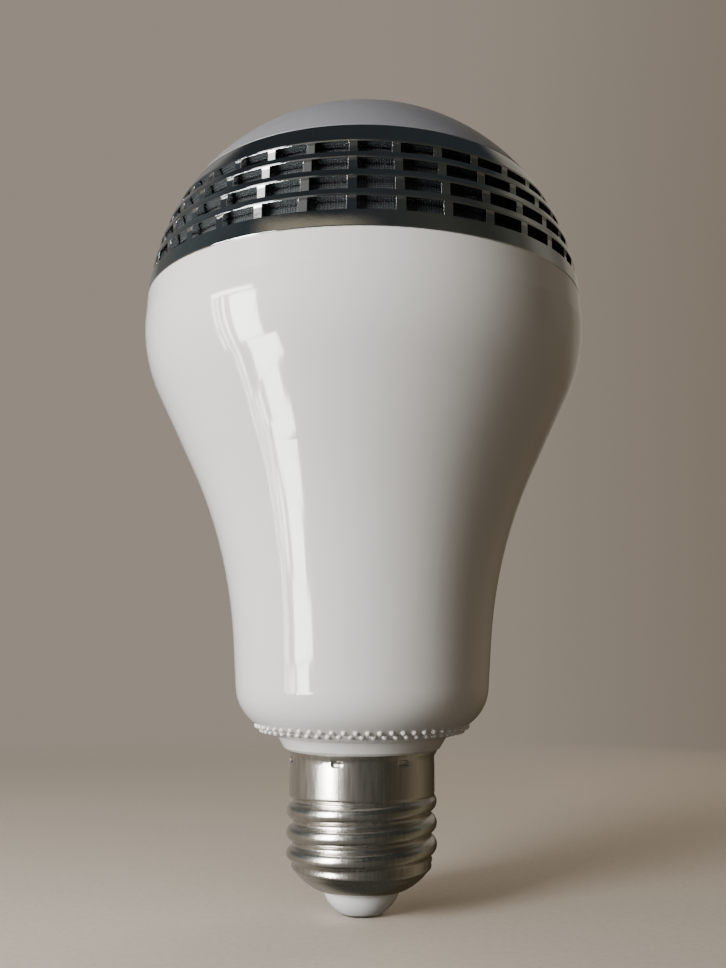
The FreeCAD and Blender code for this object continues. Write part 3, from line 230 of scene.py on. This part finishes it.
# What a mirror shows of the room by bearing, below and above its own level, and how elevation divides it.
TURN = (-180.0, 180.0)
RISE = (-90.0, 90.0)
LOW_STOPS = [
    (-180, (0.20, 0.18, 0.15)),
    (-164, (0.36, 0.325, 0.28)),
    (-124, (0.28, 0.25, 0.21)),
    (-83, (0.30, 0.275, 0.23)),
    (-42, (0.24, 0.225, 0.20)),
    (-21, (0.15, 0.14, 0.125)),
    (0, (0.10, 0.095, 0.085)),
    (42, (0.052, 0.050, 0.036)),
    (62, (0.078, 0.068, 0.047)),
    (103, (0.18, 0.155, 0.11)),
    (124, (0.09, 0.08, 0.05)),
    (150, (0.045, 0.035, 0.02)),
    (180, (0.05, 0.04, 0.025)),
]
MIDDLE_STOPS = [
    (-180, (0.30, 0.27, 0.22)),
    (-153, (0.25, 0.24, 0.23)),
    (-138, (0.12, 0.12, 0.11)),
    (-110, (0.075, 0.088, 0.092)),
    (-89, (0.055, 0.065, 0.070)),
    (-60, (0.036, 0.045, 0.050)),
    (-20, (0.024, 0.030, 0.033)),
    (45, (0.040, 0.040, 0.035)),
    (67, (0.030, 0.030, 0.025)),
    (90, (0.060, 0.060, 0.048)),
    (110, (0.16, 0.15, 0.125)),
    (128, (0.12, 0.11, 0.09)),
    (141, (0.24, 0.22, 0.18)),
    (166, (0.34, 0.31, 0.25)),
    (180, (0.30, 0.27, 0.22)),
]
ZENITH = (0.024, 0.029, 0.032)
# A painted shadow: the floor straight under the lamp, dark as mirrors show it.
SHADOW_UNDERFOOT = (0.055, 0.055, 0.045)
NONE = (0, 0, 0)
FULL = (1, 1, 1)
ABOVE_LEVEL = [(0, NONE), (12, FULL)]
# The elevations where that painted shadow shows in mirrors.
SHADOW_BENEATH = [(-64, FULL), (-46, NONE)]
OVERHEAD = [(42, NONE), (53, FULL)]


def hump(low, first, last, high):
    """Grey stops that rise from 0 at low to 1 between first and last, and fall back to 0 at high."""
    return [(low, NONE), (first, FULL), (last, FULL), (high, NONE)]


# Paler patches in front, each a colour and its extent by bearing and by elevation: a low glow, which the
# ring's plain lower band mirrors, and two window panes, which its posts mirror.
GLOW = ((0.30, 0.27, 0.20), hump(-66, -45, -20, 15), hump(27, 30, 33, 37))
DIM_PANE = ((0.20, 0.205, 0.195), hump(-47, -42, -28, -23), hump(21.5, 23, 29, 30))
PANE = ((2.2, 2.2, 2.1), hump(-66, -63, -49, -46), hump(23.6, 24.6, 28.5, 29.5))


def mirrored_room(sky, bearing, rise):
    """What a mirror shows in each direction: the room, then the paler patches over it."""
    low = sky.ramp(bearing, *TURN, LOW_STOPS)
    middle = sky.ramp(bearing, *TURN, MIDDLE_STOPS)
    layers = sky.tinted(sky.ramp(rise, *RISE, ABOVE_LEVEL), low, middle)
    # The painted shadow of the floor under the lamp, in what mirrors show.
    layers = sky.tinted(sky.ramp(rise, *RISE, SHADOW_BENEATH), layers, sky.colour(SHADOW_UNDERFOOT))
    layers = sky.tinted(sky.ramp(rise, *RISE, OVERHEAD), layers, sky.colour(ZENITH))
    for colour, bearings, rises in (GLOW, DIM_PANE, PANE):
        sideways = sky.ramp(bearing, *TURN, bearings)
        upright = sky.ramp(rise, *RISE, rises)
        layers = sky.tinted(sky.math("MULTIPLY", sideways, upright), layers, sky.colour(colour))
    return layers


def world():
    """A warm backdrop to the eye, with painted shade that darkens it to the right. To what is mirrored in
    the lamp, a dim room that is dark in front and overhead and warm behind; to what is lit, soft light from
    the left that turns brown on the right."""
    room = bpy.data.worlds.new("room")
    room.use_nodes = True
    bpy.context.scene.world = room
    room.node_tree.nodes.clear()
    sky = Sky(room.node_tree)
    split = sky.nodes.new("ShaderNodeSeparateXYZ")
    sky.links.new(sky.nodes.new("ShaderNodeTexCoord").outputs["Generated"], split.inputs[0])
    across, ahead, up = split.outputs
    turned = sky.math("ARCTAN2", across, sky.math("MULTIPLY", ahead, -1.0))
    bearing = sky.math("MULTIPLY", turned, math.degrees(1))
    rise = sky.math("MULTIPLY", sky.math("ARCSINE", up), math.degrees(1))
    # The backdrop's painted shade: darker towards the right.
    seen = sky.ramp(across, -BACKDROP_REACH, BACKDROP_REACH, SEEN_STOPS)
    felt = sky.ramp(across, -1.0, 1.0, FELT_STOPS)
    mirrored = sky.background(mirrored_room(sky, bearing, rise))
    path = sky.nodes.new("ShaderNodeLightPath")
    unseen = sky.mixed(path.outputs["Is Glossy Ray"], sky.background(felt), mirrored)
    shown = sky.mixed(path.outputs["Is Camera Ray"], unseen, sky.background(seen))
    out = sky.nodes.new("ShaderNodeOutputWorld")
    sky.links.new(shown, out.inputs["Surface"])


# Each softbox: its name, its bearing, elevation and distance, its width and height, its power and colour.
SOFTBOXES = (
    ("key", (-45, 8, 0.4), (0.14, 0.19), 2.6, (1.0, 0.985, 0.96)),
    ("side", (-74, 0, 0.5), (0.35, 0.16), 1.2, (1.0, 0.99, 0.97)),
    ("fill", (142, 18, 0.6), (0.3, 0.3), 1.5, (1.0, 0.86, 0.68)),
)
WINDOW_DISTANCE = 0.14
WINDOW_BEARING = -61
WINDOW_GLOW = 120.0
# Each part of the window: its name, its lowest and highest point, and its strips, each a bearing off the
# window's own and a width, both in degrees.
WINDOW_PARTS = (
    ("transom", 0.1145, 0.1195, ((3.0, 21.0),)),
    ("window", 0.052, 0.1120, ((-6.5, 0.8), (-4.0, 0.7), (-1.0, 1.2), (9.0, 13.0))),
    ("pane", 0.026, 0.051, ((-3.5, 0.6), (-1.0, 0.9), (13.5, 16.0))),
    ("sill", 0.013, 0.0255, ((-4.5, 0.7), (-1.5, 0.6), (1.0, 0.9), (3.6, 1.6), (12.5, 10.0))),
    ("ledge", 0.001, 0.0125, ((-3.5, 0.7), (-1.0, 0.6), (1.5, 0.9), (12.5, 15.0))),
)


def lights():
    """Soft light from the left, warm fill from behind right, and a tall window that only the gloss shows."""
    for name, place, (width, height), power, colour in SOFTBOXES:
        panel(name, around(*place), LAMP_MIDDLE, width, height, power, colour, mirrored=False)
    for name, low, high, strips in WINDOW_PARTS:
        for step, (lean, share) in enumerate(strips):
            place = list(around(WINDOW_BEARING + lean, 0, WINDOW_DISTANCE))
            place[2] = (low + high) / 2
            wide = WINDOW_DISTANCE * math.radians(share)
            aim = (0, 0, place[2])
            power = WINDOW_GLOW * wide * (high - low)
            panel("%s_%d" % (name, step), place, aim, wide, high - low, power, lit=False)


# ------------------------------------------------------------ materials

# Most of a noise lies between these two values, so its tones are spread between them.
GRAIN_LOW = 0.3
GRAIN_HIGH = 0.7
EDGE_RADIUS = 0.00012
EDGE_SAMPLES = 6


class Paint:
    """One procedural material: a Principled shader with small helpers for its texture nodes."""

    def __init__(self, name, colour, roughness, metallic=0.0, **settings):
        self.material = bpy.data.materials.new(name)
        self.material.use_nodes = True
        self.nodes = self.material.node_tree.nodes
        self.links = self.material.node_tree.links
        self.shader = self.nodes["Principled BSDF"]
        self.shader.inputs["Base Color"].default_value = colour
        self.shader.inputs["Roughness"].default_value = roughness
        self.shader.inputs["Metallic"].default_value = metallic
        for key, value in settings.items():
            self.shader.inputs[key.replace("_", " ")].default_value = value
        self.place = self.nodes.new("ShaderNodeTexCoord").outputs["Object"]

    def link(self, output, name):
        """Drive one socket of the shader."""
        self.links.new(output, self.shader.inputs[name])

    def scaled(self, scale, turn=(0, 0, 0)):
        """The object's own coordinates, scaled along each axis, in units per metre."""
        node = self.nodes.new("ShaderNodeMapping")
        node.inputs["Scale"].default_value = scale
        node.inputs["Rotation"].default_value = turn
        self.links.new(self.place, node.inputs["Vector"])
        return node.outputs[0]

    def noise(self, scale, detail, rough=0.55, vector=None):
        """Soft noise from 0 to 1, its scale per metre."""
        node = self.nodes.new("ShaderNodeTexNoise")
        node.inputs["Scale"].default_value = scale
        node.inputs["Detail"].default_value = detail
        node.inputs["Roughness"].default_value = rough
        self.links.new(vector or self.place, node.inputs["Vector"])
        return node.outputs["Fac"]

    def wave(self, scale, direction, vector, distortion):
        """Parallel bands across one axis of the given coordinates."""
        node = self.nodes.new("ShaderNodeTexWave")
        node.bands_direction = direction
        node.inputs["Scale"].default_value = scale
        node.inputs["Distortion"].default_value = distortion
        self.links.new(vector, node.inputs["Vector"])
        return node.outputs["Fac"]

    def tones(self, value, low, high, start=GRAIN_LOW, end=GRAIN_HIGH):
        """Base colour that goes from one tone to another as a value goes from its start to its end."""
        node = self.nodes.new("ShaderNodeValToRGB")
        for element, position, colour in zip(node.color_ramp.elements, (start, end), (low, high)):
            element.position = position
            element.color = colour + (1,)
        self.links.new(value, node.inputs["Fac"])
        self.link(node.outputs["Color"], "Base Color")

    def span(self, value, low, high, start=0.0, end=1.0):
        """A value that runs from start to end, mapped to run from low to high."""
        node = self.nodes.new("ShaderNodeMapRange")
        for name, number in (("From Min", start), ("From Max", end), ("To Min", low), ("To Max", high)):
            node.inputs[name].default_value = number
        self.links.new(value, node.inputs["Value"])
        return node.outputs["Result"]

    def product(self, first, second):
        """Two values multiplied."""
        node = self.nodes.new("ShaderNodeMath")
        node.operation = "MULTIPLY"
        self.links.new(first, node.inputs[0])
        self.links.new(second, node.inputs[1])
        return node.outputs[0]

    def rounded(self, radius):
        """A normal that rolls over sharp edges, so that they catch light as a thin line."""
        node = self.nodes.new("ShaderNodeBevel")
        node.samples = EDGE_SAMPLES
        node.inputs["Radius"].default_value = radius
        return node.outputs["Normal"]

    def bump(self, layers, normal=None):
        """Chain bump layers, each (value, strength, depth in metres), into the shader's normal."""
        for value, strength, depth in layers:
            node = self.nodes.new("ShaderNodeBump")
            node.inputs["Strength"].default_value = strength
            node.inputs["Distance"].default_value = depth
            self.links.new(value, node.inputs["Height"])
            if normal is not None:
                self.links.new(normal, node.inputs["Normal"])
            normal = node.outputs["Normal"]
        self.link(normal, "Normal")


def shell_white():
    """High-gloss moulded plastic: slow unevenness of tone and form, a fine grain and faint long scuffs."""
    paint = Paint("shell_white", (0.80, 0.79, 0.765, 1), 0.09, Coat_Weight=0.35, Coat_Roughness=0.04)
    paint.shader.inputs["Subsurface Weight"].default_value = 0.08
    paint.shader.inputs["Subsurface Radius"].default_value = (0.004, 0.0035, 0.003)
    flow = paint.noise(28, 3)
    paint.tones(flow, (0.785, 0.765, 0.725), (0.805, 0.785, 0.75))
    scuff = paint.noise(1.0, 4, 0.7, paint.scaled((900, 900, 60), (0.3, 0.5, 0.2)))
    paint.link(paint.span(scuff, 0.07, 0.14, 0.35, 0.75), "Roughness")
    paint.bump([(paint.noise(60, 2), 0.05, 0.0004), (paint.noise(2500, 2), 0.03, 0.00005)])
    return paint.material


def grille_chrome():
    """Bright plating over moulded plastic: almost a mirror, with slight waviness and uneven haze."""
    paint = Paint("grille_chrome", (0.76, 0.77, 0.78, 1), 0.05, 1.0)
    haze = paint.noise(90, 4, 0.65)
    paint.link(paint.span(haze, 0.02, 0.10, 0.35, 0.75), "Roughness")
    paint.tones(paint.noise(220, 3), (0.70, 0.71, 0.72), (0.80, 0.81, 0.82))
    layers = [(paint.noise(150, 2), 0.06, 0.0003), (paint.noise(1600, 3), 0.04, 0.00006)]
    paint.bump(layers, paint.rounded(EDGE_RADIUS))
    return paint.material


def cap_metal():
    """Nickel plate over rolled sheet: upright brush marks in tone, gloss and relief, and small pits."""
    paint = Paint("cap_metal", (0.66, 0.63, 0.58, 1), 0.23, 1.0)
    brushed = paint.noise(1.0, 4, 0.6, paint.scaled((2600, 2600, 160)))
    pits = paint.noise(1400, 3, 0.6)
    paint.tones(brushed, (0.58, 0.55, 0.50), (0.74, 0.71, 0.66))
    paint.link(paint.span(brushed, 0.19, 0.27, GRAIN_LOW, GRAIN_HIGH), "Roughness")
    paint.bump([(brushed, 0.12, 0.0001), (pits, 0.08, 0.0001)])
    return paint.material


def cap_white():
    """Glossy white moulded insulator with a fine grain."""
    paint = Paint("cap_white", (0.86, 0.86, 0.84, 1), 0.2, Coat_Weight=0.3, Coat_Roughness=0.1)
    paint.tones(paint.noise(400, 3), (0.82, 0.82, 0.80), (0.88, 0.88, 0.86))
    paint.bump([(paint.noise(900, 3), 0.08, 0.0001)])
    return paint.material


def dome_frosted():
    """Frosted translucent plastic: light spreads inside it, and its skin has a fine etched grain."""
    paint = Paint("dome_frosted", (0.29, 0.29, 0.315, 1), 0.42, Coat_Weight=0.15, Coat_Roughness=0.35)
    paint.shader.inputs["Subsurface Weight"].default_value = 0.35
    paint.shader.inputs["Subsurface Radius"].default_value = (0.006, 0.006, 0.008)
    cloud = paint.noise(45, 3)
    paint.tones(cloud, (0.225, 0.225, 0.247), (0.252, 0.252, 0.275))
    paint.link(paint.span(paint.noise(700, 3), 0.33, 0.45, GRAIN_LOW, GRAIN_HIGH), "Roughness")
    paint.bump([(paint.noise(5000, 2), 0.12, 0.00004)])
    return paint.material


# The wave texture's scale for the yarns, and how far they waver.
YARN_BANDS = 760
YARN_WAVER = 0.4


def woven_cloth():
    """Acoustic cloth: dark yarns in a grid, raised and flecked with a paler tone where they cross."""
    paint = Paint("cloth_black", (0.05, 0.055, 0.052, 1), 0.8, Sheen_Weight=0.1, Sheen_Roughness=0.4)
    spread = paint.nodes.new("ShaderNodeTexCoord").outputs["UV"]
    warp = paint.wave(YARN_BANDS, "X", spread, YARN_WAVER)
    weft = paint.wave(YARN_BANDS, "Y", spread, YARN_WAVER)
    weave = paint.product(warp, weft)
    flecks = paint.noise(2600, 2)
    paint.tones(paint.product(weave, flecks), (0.022, 0.027, 0.029), (0.066, 0.075, 0.076), 0.05, 0.5)
    paint.link(paint.span(flecks, 0.65, 0.95, GRAIN_LOW, GRAIN_HIGH), "Roughness")
    paint.bump([(weave, 0.8, 0.0002), (flecks, 0.2, 0.0001)])
    return paint.material


# The inner parts' finishes: the darker and the paler tone, the roughness, and 1.0 for metal.
PLAIN = {
    "contact_metal": ((0.55, 0.52, 0.45), (0.72, 0.69, 0.62), 0.28, 1.0),
    "board_white": ((0.80, 0.80, 0.78), (0.90, 0.90, 0.88), 0.45),
    "led_yellow": ((0.75, 0.60, 0.15), (0.95, 0.82, 0.35), 0.35),
    "led_clear": ((0.75, 0.75, 0.72), (0.90, 0.90, 0.88), 0.25),
    "socket_white": ((0.75, 0.74, 0.68), (0.86, 0.85, 0.80), 0.5),
    "pad_grey": ((0.40, 0.43, 0.48), (0.52, 0.55, 0.60), 0.8),
    "spreader_aluminium": ((0.60, 0.61, 0.63), (0.78, 0.79, 0.80), 0.35, 1.0),
    "screw_steel": ((0.42, 0.42, 0.43), (0.62, 0.62, 0.62), 0.3, 1.0),
    "plate_black": ((0.03, 0.03, 0.03), (0.07, 0.07, 0.07), 0.55),
    "gasket_black": ((0.02, 0.02, 0.02), (0.06, 0.06, 0.06), 0.9),
    "basket_steel": ((0.04, 0.04, 0.045), (0.09, 0.09, 0.10), 0.4),
    "plate_steel": ((0.45, 0.45, 0.43), (0.65, 0.65, 0.62), 0.35, 1.0),
    "magnet_ferrite": ((0.07, 0.07, 0.075), (0.15, 0.15, 0.16), 0.6),
    "coil_copper": ((0.50, 0.22, 0.10), (0.75, 0.42, 0.22), 0.3, 1.0),
    "former_kapton": ((0.50, 0.24, 0.04), (0.68, 0.38, 0.09), 0.25),
    "cone_paper": ((0.04, 0.04, 0.045), (0.10, 0.10, 0.11), 0.85),
    "roll_rubber": ((0.02, 0.02, 0.02), (0.05, 0.05, 0.05), 0.6),
    "spider_cloth": ((0.60, 0.40, 0.15), (0.76, 0.56, 0.28), 0.85),
    "board_green": ((0.02, 0.20, 0.09), (0.05, 0.30, 0.15), 0.4),
    "core_ferrite": ((0.06, 0.06, 0.06), (0.13, 0.13, 0.13), 0.6),
    "tape_yellow": ((0.72, 0.55, 0.06), (0.86, 0.72, 0.14), 0.3),
    "can_aluminium": ((0.55, 0.55, 0.57), (0.75, 0.75, 0.77), 0.3, 1.0),
    "can_black": ((0.02, 0.02, 0.03), (0.06, 0.06, 0.08), 0.3),
    "chip_black": ((0.02, 0.02, 0.02), (0.05, 0.05, 0.05), 0.55),
    "fuse_ceramic": ((0.42, 0.54, 0.60), (0.56, 0.68, 0.74), 0.4),
    "choke_winding": ((0.40, 0.18, 0.08), (0.66, 0.36, 0.18), 0.35, 1.0),
    "capacitor_yellow": ((0.75, 0.56, 0.08), (0.86, 0.70, 0.16), 0.35),
    "can_tin": ((0.55, 0.56, 0.57), (0.74, 0.75, 0.76), 0.25, 1.0),
    "track_gold": ((0.70, 0.48, 0.16), (0.86, 0.64, 0.30), 0.3, 1.0),
    "wire_red": ((0.45, 0.03, 0.02), (0.60, 0.06, 0.04), 0.35),
    "wire_blue": ((0.03, 0.08, 0.35), (0.06, 0.14, 0.50), 0.35),
    "wire_white": ((0.68, 0.68, 0.66), (0.80, 0.80, 0.78), 0.35),
}
PLAIN_GRAIN = 300
PLAIN_GLOSS_GRAIN = 120
PLAIN_BUMP_GRAIN = 1200
PLAIN_SPREAD = 0.4
PLAIN_SPREAD_MOST = 0.12


def plain(name, low, high, roughness, metallic=0.0):
    """One inner part's finish: a grained colour between two tones, uneven gloss and fine bumps."""
    paint = Paint(name, high + (1,), roughness, metallic)
    paint.tones(paint.noise(PLAIN_GRAIN, 4), low, high)
    spread = min(PLAIN_SPREAD_MOST, roughness * PLAIN_SPREAD)
    uneven = paint.noise(PLAIN_GLOSS_GRAIN, 3)
    gloss = paint.span(uneven, roughness - spread, roughness + spread, GRAIN_LOW, GRAIN_HIGH)
    paint.link(gloss, "Roughness")
    paint.bump([(paint.noise(PLAIN_BUMP_GRAIN, 3), 0.1, 0.0002)])
    return paint.material


def finishes():
    """Every material slot's finish, by its name in the record."""
    skins = {
        "cap_metal": cap_metal(),
        "cap_white": cap_white(),
        "shell_white": shell_white(),
        "grille_chrome": grille_chrome(),
        "cloth_black": woven_cloth(),
        "dome_frosted": dome_frosted(),
    }
    for name, values in PLAIN.items():
        skins[name] = plain(name, *values)
    return skins


def dress(skins):
    """Give every CAD node the finish of its slot."""
    for name, item in NODES.items():
        item.data.materials.clear()
        item.data.materials.append(skins[SLOTS[name]])


# ------------------------------------------------------------ detailed pieces

# The cloth lies on a sphere about the axis: its radius, its centre's height and the heights it covers.
CLOTH_RADIUS = 0.03755
CLOTH_CENTRE_Z = 0.105
CLOTH_SPAN = (0.1096, 0.1242)
CLOTH_COLUMNS = 320
CLOTH_ROWS = 14
CLOTH_SLACK = 0.00012
CLOTH_WAVES = 16


def piece(name, mesh, skin):
    """Turn a finished bmesh into an object with one finish."""
    data = bpy.data.meshes.new(name)
    mesh.to_mesh(data)
    mesh.free()
    data.materials.append(skin)
    return added(name, data)


def cloth_grid(mesh, first, last):
    """The cloth's points, row by row, between two elevations on its sphere."""
    grid = []
    for row in range(CLOTH_ROWS + 1):
        rise = first + (last - first) * row / CLOTH_ROWS
        line = []
        for column in range(CLOTH_COLUMNS):
            angle = 2 * math.pi * column / CLOTH_COLUMNS
            slack = CLOTH_SLACK * math.sin(CLOTH_WAVES * angle) * math.sin(math.pi * row / CLOTH_ROWS)
            radius = CLOTH_RADIUS + slack
            flat = radius * math.cos(rise)
            height = CLOTH_CENTRE_Z + radius * math.sin(rise)
            line.append(mesh.verts.new((flat * math.sin(angle), -flat * math.cos(angle), height)))
        grid.append(line)
    return grid


def acoustic_cloth(skin):
    """The cloth band stretched behind the slots: one sheet on a sphere, slack in shallow waves."""
    low, high = CLOTH_SPAN
    first = math.asin((low - CLOTH_CENTRE_Z) / CLOTH_RADIUS)
    last = math.asin((high - CLOTH_CENTRE_Z) / CLOTH_RADIUS)
    around_length = 2 * math.pi * CLOTH_RADIUS * math.cos((first + last) / 2)
    up_length = CLOTH_RADIUS * (last - first)
    mesh = bmesh.new()
    layer = mesh.loops.layers.uv.new("cut")
    grid = cloth_grid(mesh, first, last)
    for row in range(CLOTH_ROWS):
        for column in range(CLOTH_COLUMNS):
            after = (column + 1) % CLOTH_COLUMNS
            square = (grid[row][column], grid[row][after], grid[row + 1][after], grid[row + 1][column])
            face = mesh.faces.new(square)
            face.smooth = True
            corners = ((row, column), (row, column + 1), (row + 1, column + 1), (row + 1, column))
            for loop, (up, along) in zip(face.loops, corners):
                loop[layer].uv = (around_length * along / CLOTH_COLUMNS, up_length * up / CLOTH_ROWS)
    band = piece("woven_band", mesh, skin)
    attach(band, "root")
    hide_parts("acoustic_cloth")


# Each bead row is its distance from the axis and its height.
BEAD_COUNT = 60
BEAD_ROWS = ((0.0177, 0.0309), (0.01854, 0.0316))
BEAD_RADIUS = 0.00048
BEAD_SUBDIVISIONS = 2


def bead_rim(skin):
    """Two rows of small beads moulded round the underside of the housing, just above its neck."""
    mesh = bmesh.new()
    for row, (radius, height) in enumerate(BEAD_ROWS):
        for turn in range(BEAD_COUNT):
            angle = 2 * math.pi * (turn + row / 2) / BEAD_COUNT
            place = Matrix.Translation((radius * math.sin(angle), -radius * math.cos(angle), height))
            bmesh.ops.create_icosphere(
                mesh, subdivisions=BEAD_SUBDIVISIONS, radius=BEAD_RADIUS, matrix=place
            )
    beads = piece("bead_rim", mesh, skin)
    for face in beads.data.polygons:
        face.use_smooth = True
    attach(beads, "root")


# The loudspeaker's two flexible rings. A FLEX pair is the radius within which a ring moves with the cone
# and the radius past which it stays with the frame.
MEMBRANE_COLUMNS = 120
ROLL_STEPS = 12
ROLL = {"centre": 0.0199, "radius": 0.0013, "thickness": 0.0003, "level": 0.105}
ROLL_LIPS = (0.0178, 0.0224)
ROLL_FLEX = (0.0188, 0.0210)
SPIDER = {
    "inner": 0.00645,
    "outer": 0.0159,
    "level": 0.0952,
    "thickness": 0.0003,
    "wave": 0.0004,
    "folds": 10,
}
SPIDER_FLEX = (0.0076, 0.0150)


def rib_point(radius, turn):
    """A point of the roll's half-round rib, as (radius, height), at an angle round the rib's middle."""
    return (ROLL["centre"] + radius * math.cos(turn), ROLL["level"] + radius * math.sin(turn))


def roll_profile():
    """The rubber roll's section, as (radius, height) in a loop: a half-round rib between two flat lips."""
    inner, outer = ROLL_LIPS
    low = ROLL["level"]
    high = low + ROLL["thickness"]
    under = []
    over = []
    reach = ROLL["radius"] + ROLL["thickness"]
    lean = math.asin(ROLL["thickness"] / reach)
    for step in range(ROLL_STEPS + 1):
        turn = math.pi * (1 - step / ROLL_STEPS)
        under.append(rib_point(ROLL["radius"], turn))
        turn = math.pi - lean - (math.pi - 2 * lean) * step / ROLL_STEPS
        over.append(rib_point(reach, turn))
    return [(inner, low)] + under + [(outer, low), (outer, high)] + over[::-1] + [(inner, high)]


def spider_profile():
    """The spider's section: even folds of constant thickness, as (radius, height) in a loop."""
    under = []
    over = []
    width = SPIDER["outer"] - SPIDER["inner"]
    for step in range(SPIDER["folds"] + 1):
        radius = SPIDER["inner"] + width * step / SPIDER["folds"]
        height = SPIDER["level"] + SPIDER["wave"] * (step % 2)
        under.append((radius, height))
        over.append((radius, height + SPIDER["thickness"]))
    return under + over[::-1]


def membrane(name, node, profile, skin, moving, fixed):
    """A ring that flexes between the frame and the cone. It moves fully inside one radius, and not at all
    past another. The blend names the two bodies, and the share of each point is then set by its radius."""
    mesh = bmesh.new()
    rings = []
    for column in range(MEMBRANE_COLUMNS):
        angle = 2 * math.pi * column / MEMBRANE_COLUMNS
        rings.append([mesh.verts.new((r * math.sin(angle), -r * math.cos(angle), z)) for r, z in profile])
    for column, ring in enumerate(rings):
        after = rings[(column + 1) % MEMBRANE_COLUMNS]
        for row in range(len(profile)):
            other = (row + 1) % len(profile)
            mesh.faces.new((ring[row], after[row], after[other], ring[other]))
    bmesh.ops.recalc_face_normals(mesh, faces=mesh.faces)
    ring = piece(name, mesh, skin)
    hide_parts(node)
    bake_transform(ring, "root", "cone_assembly", (fixed, 0, 0), (moving, 0, 0))
    weights = ring.data.attributes["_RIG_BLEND"]
    for point, weight in zip(ring.data.vertices, weights.data):
        radius = math.hypot(point.co.x, point.co.y)
        share = min(1.0, max(0.0, (fixed - radius) / (fixed - moving)))
        weight.value = share * share * (3 - 2 * share)


camera()
floor()
world()
lights()
SKINS = finishes()
dress(SKINS)
bead_rim(SKINS["shell_white"])
acoustic_cloth(SKINS["cloth_black"])
membrane("roll_ring", "surround", roll_profile(), SKINS["roll_rubber"], *ROLL_FLEX)
membrane("spider_ring", "spider", spider_profile(), SKINS["spider_cloth"], *SPIDER_FLEX)
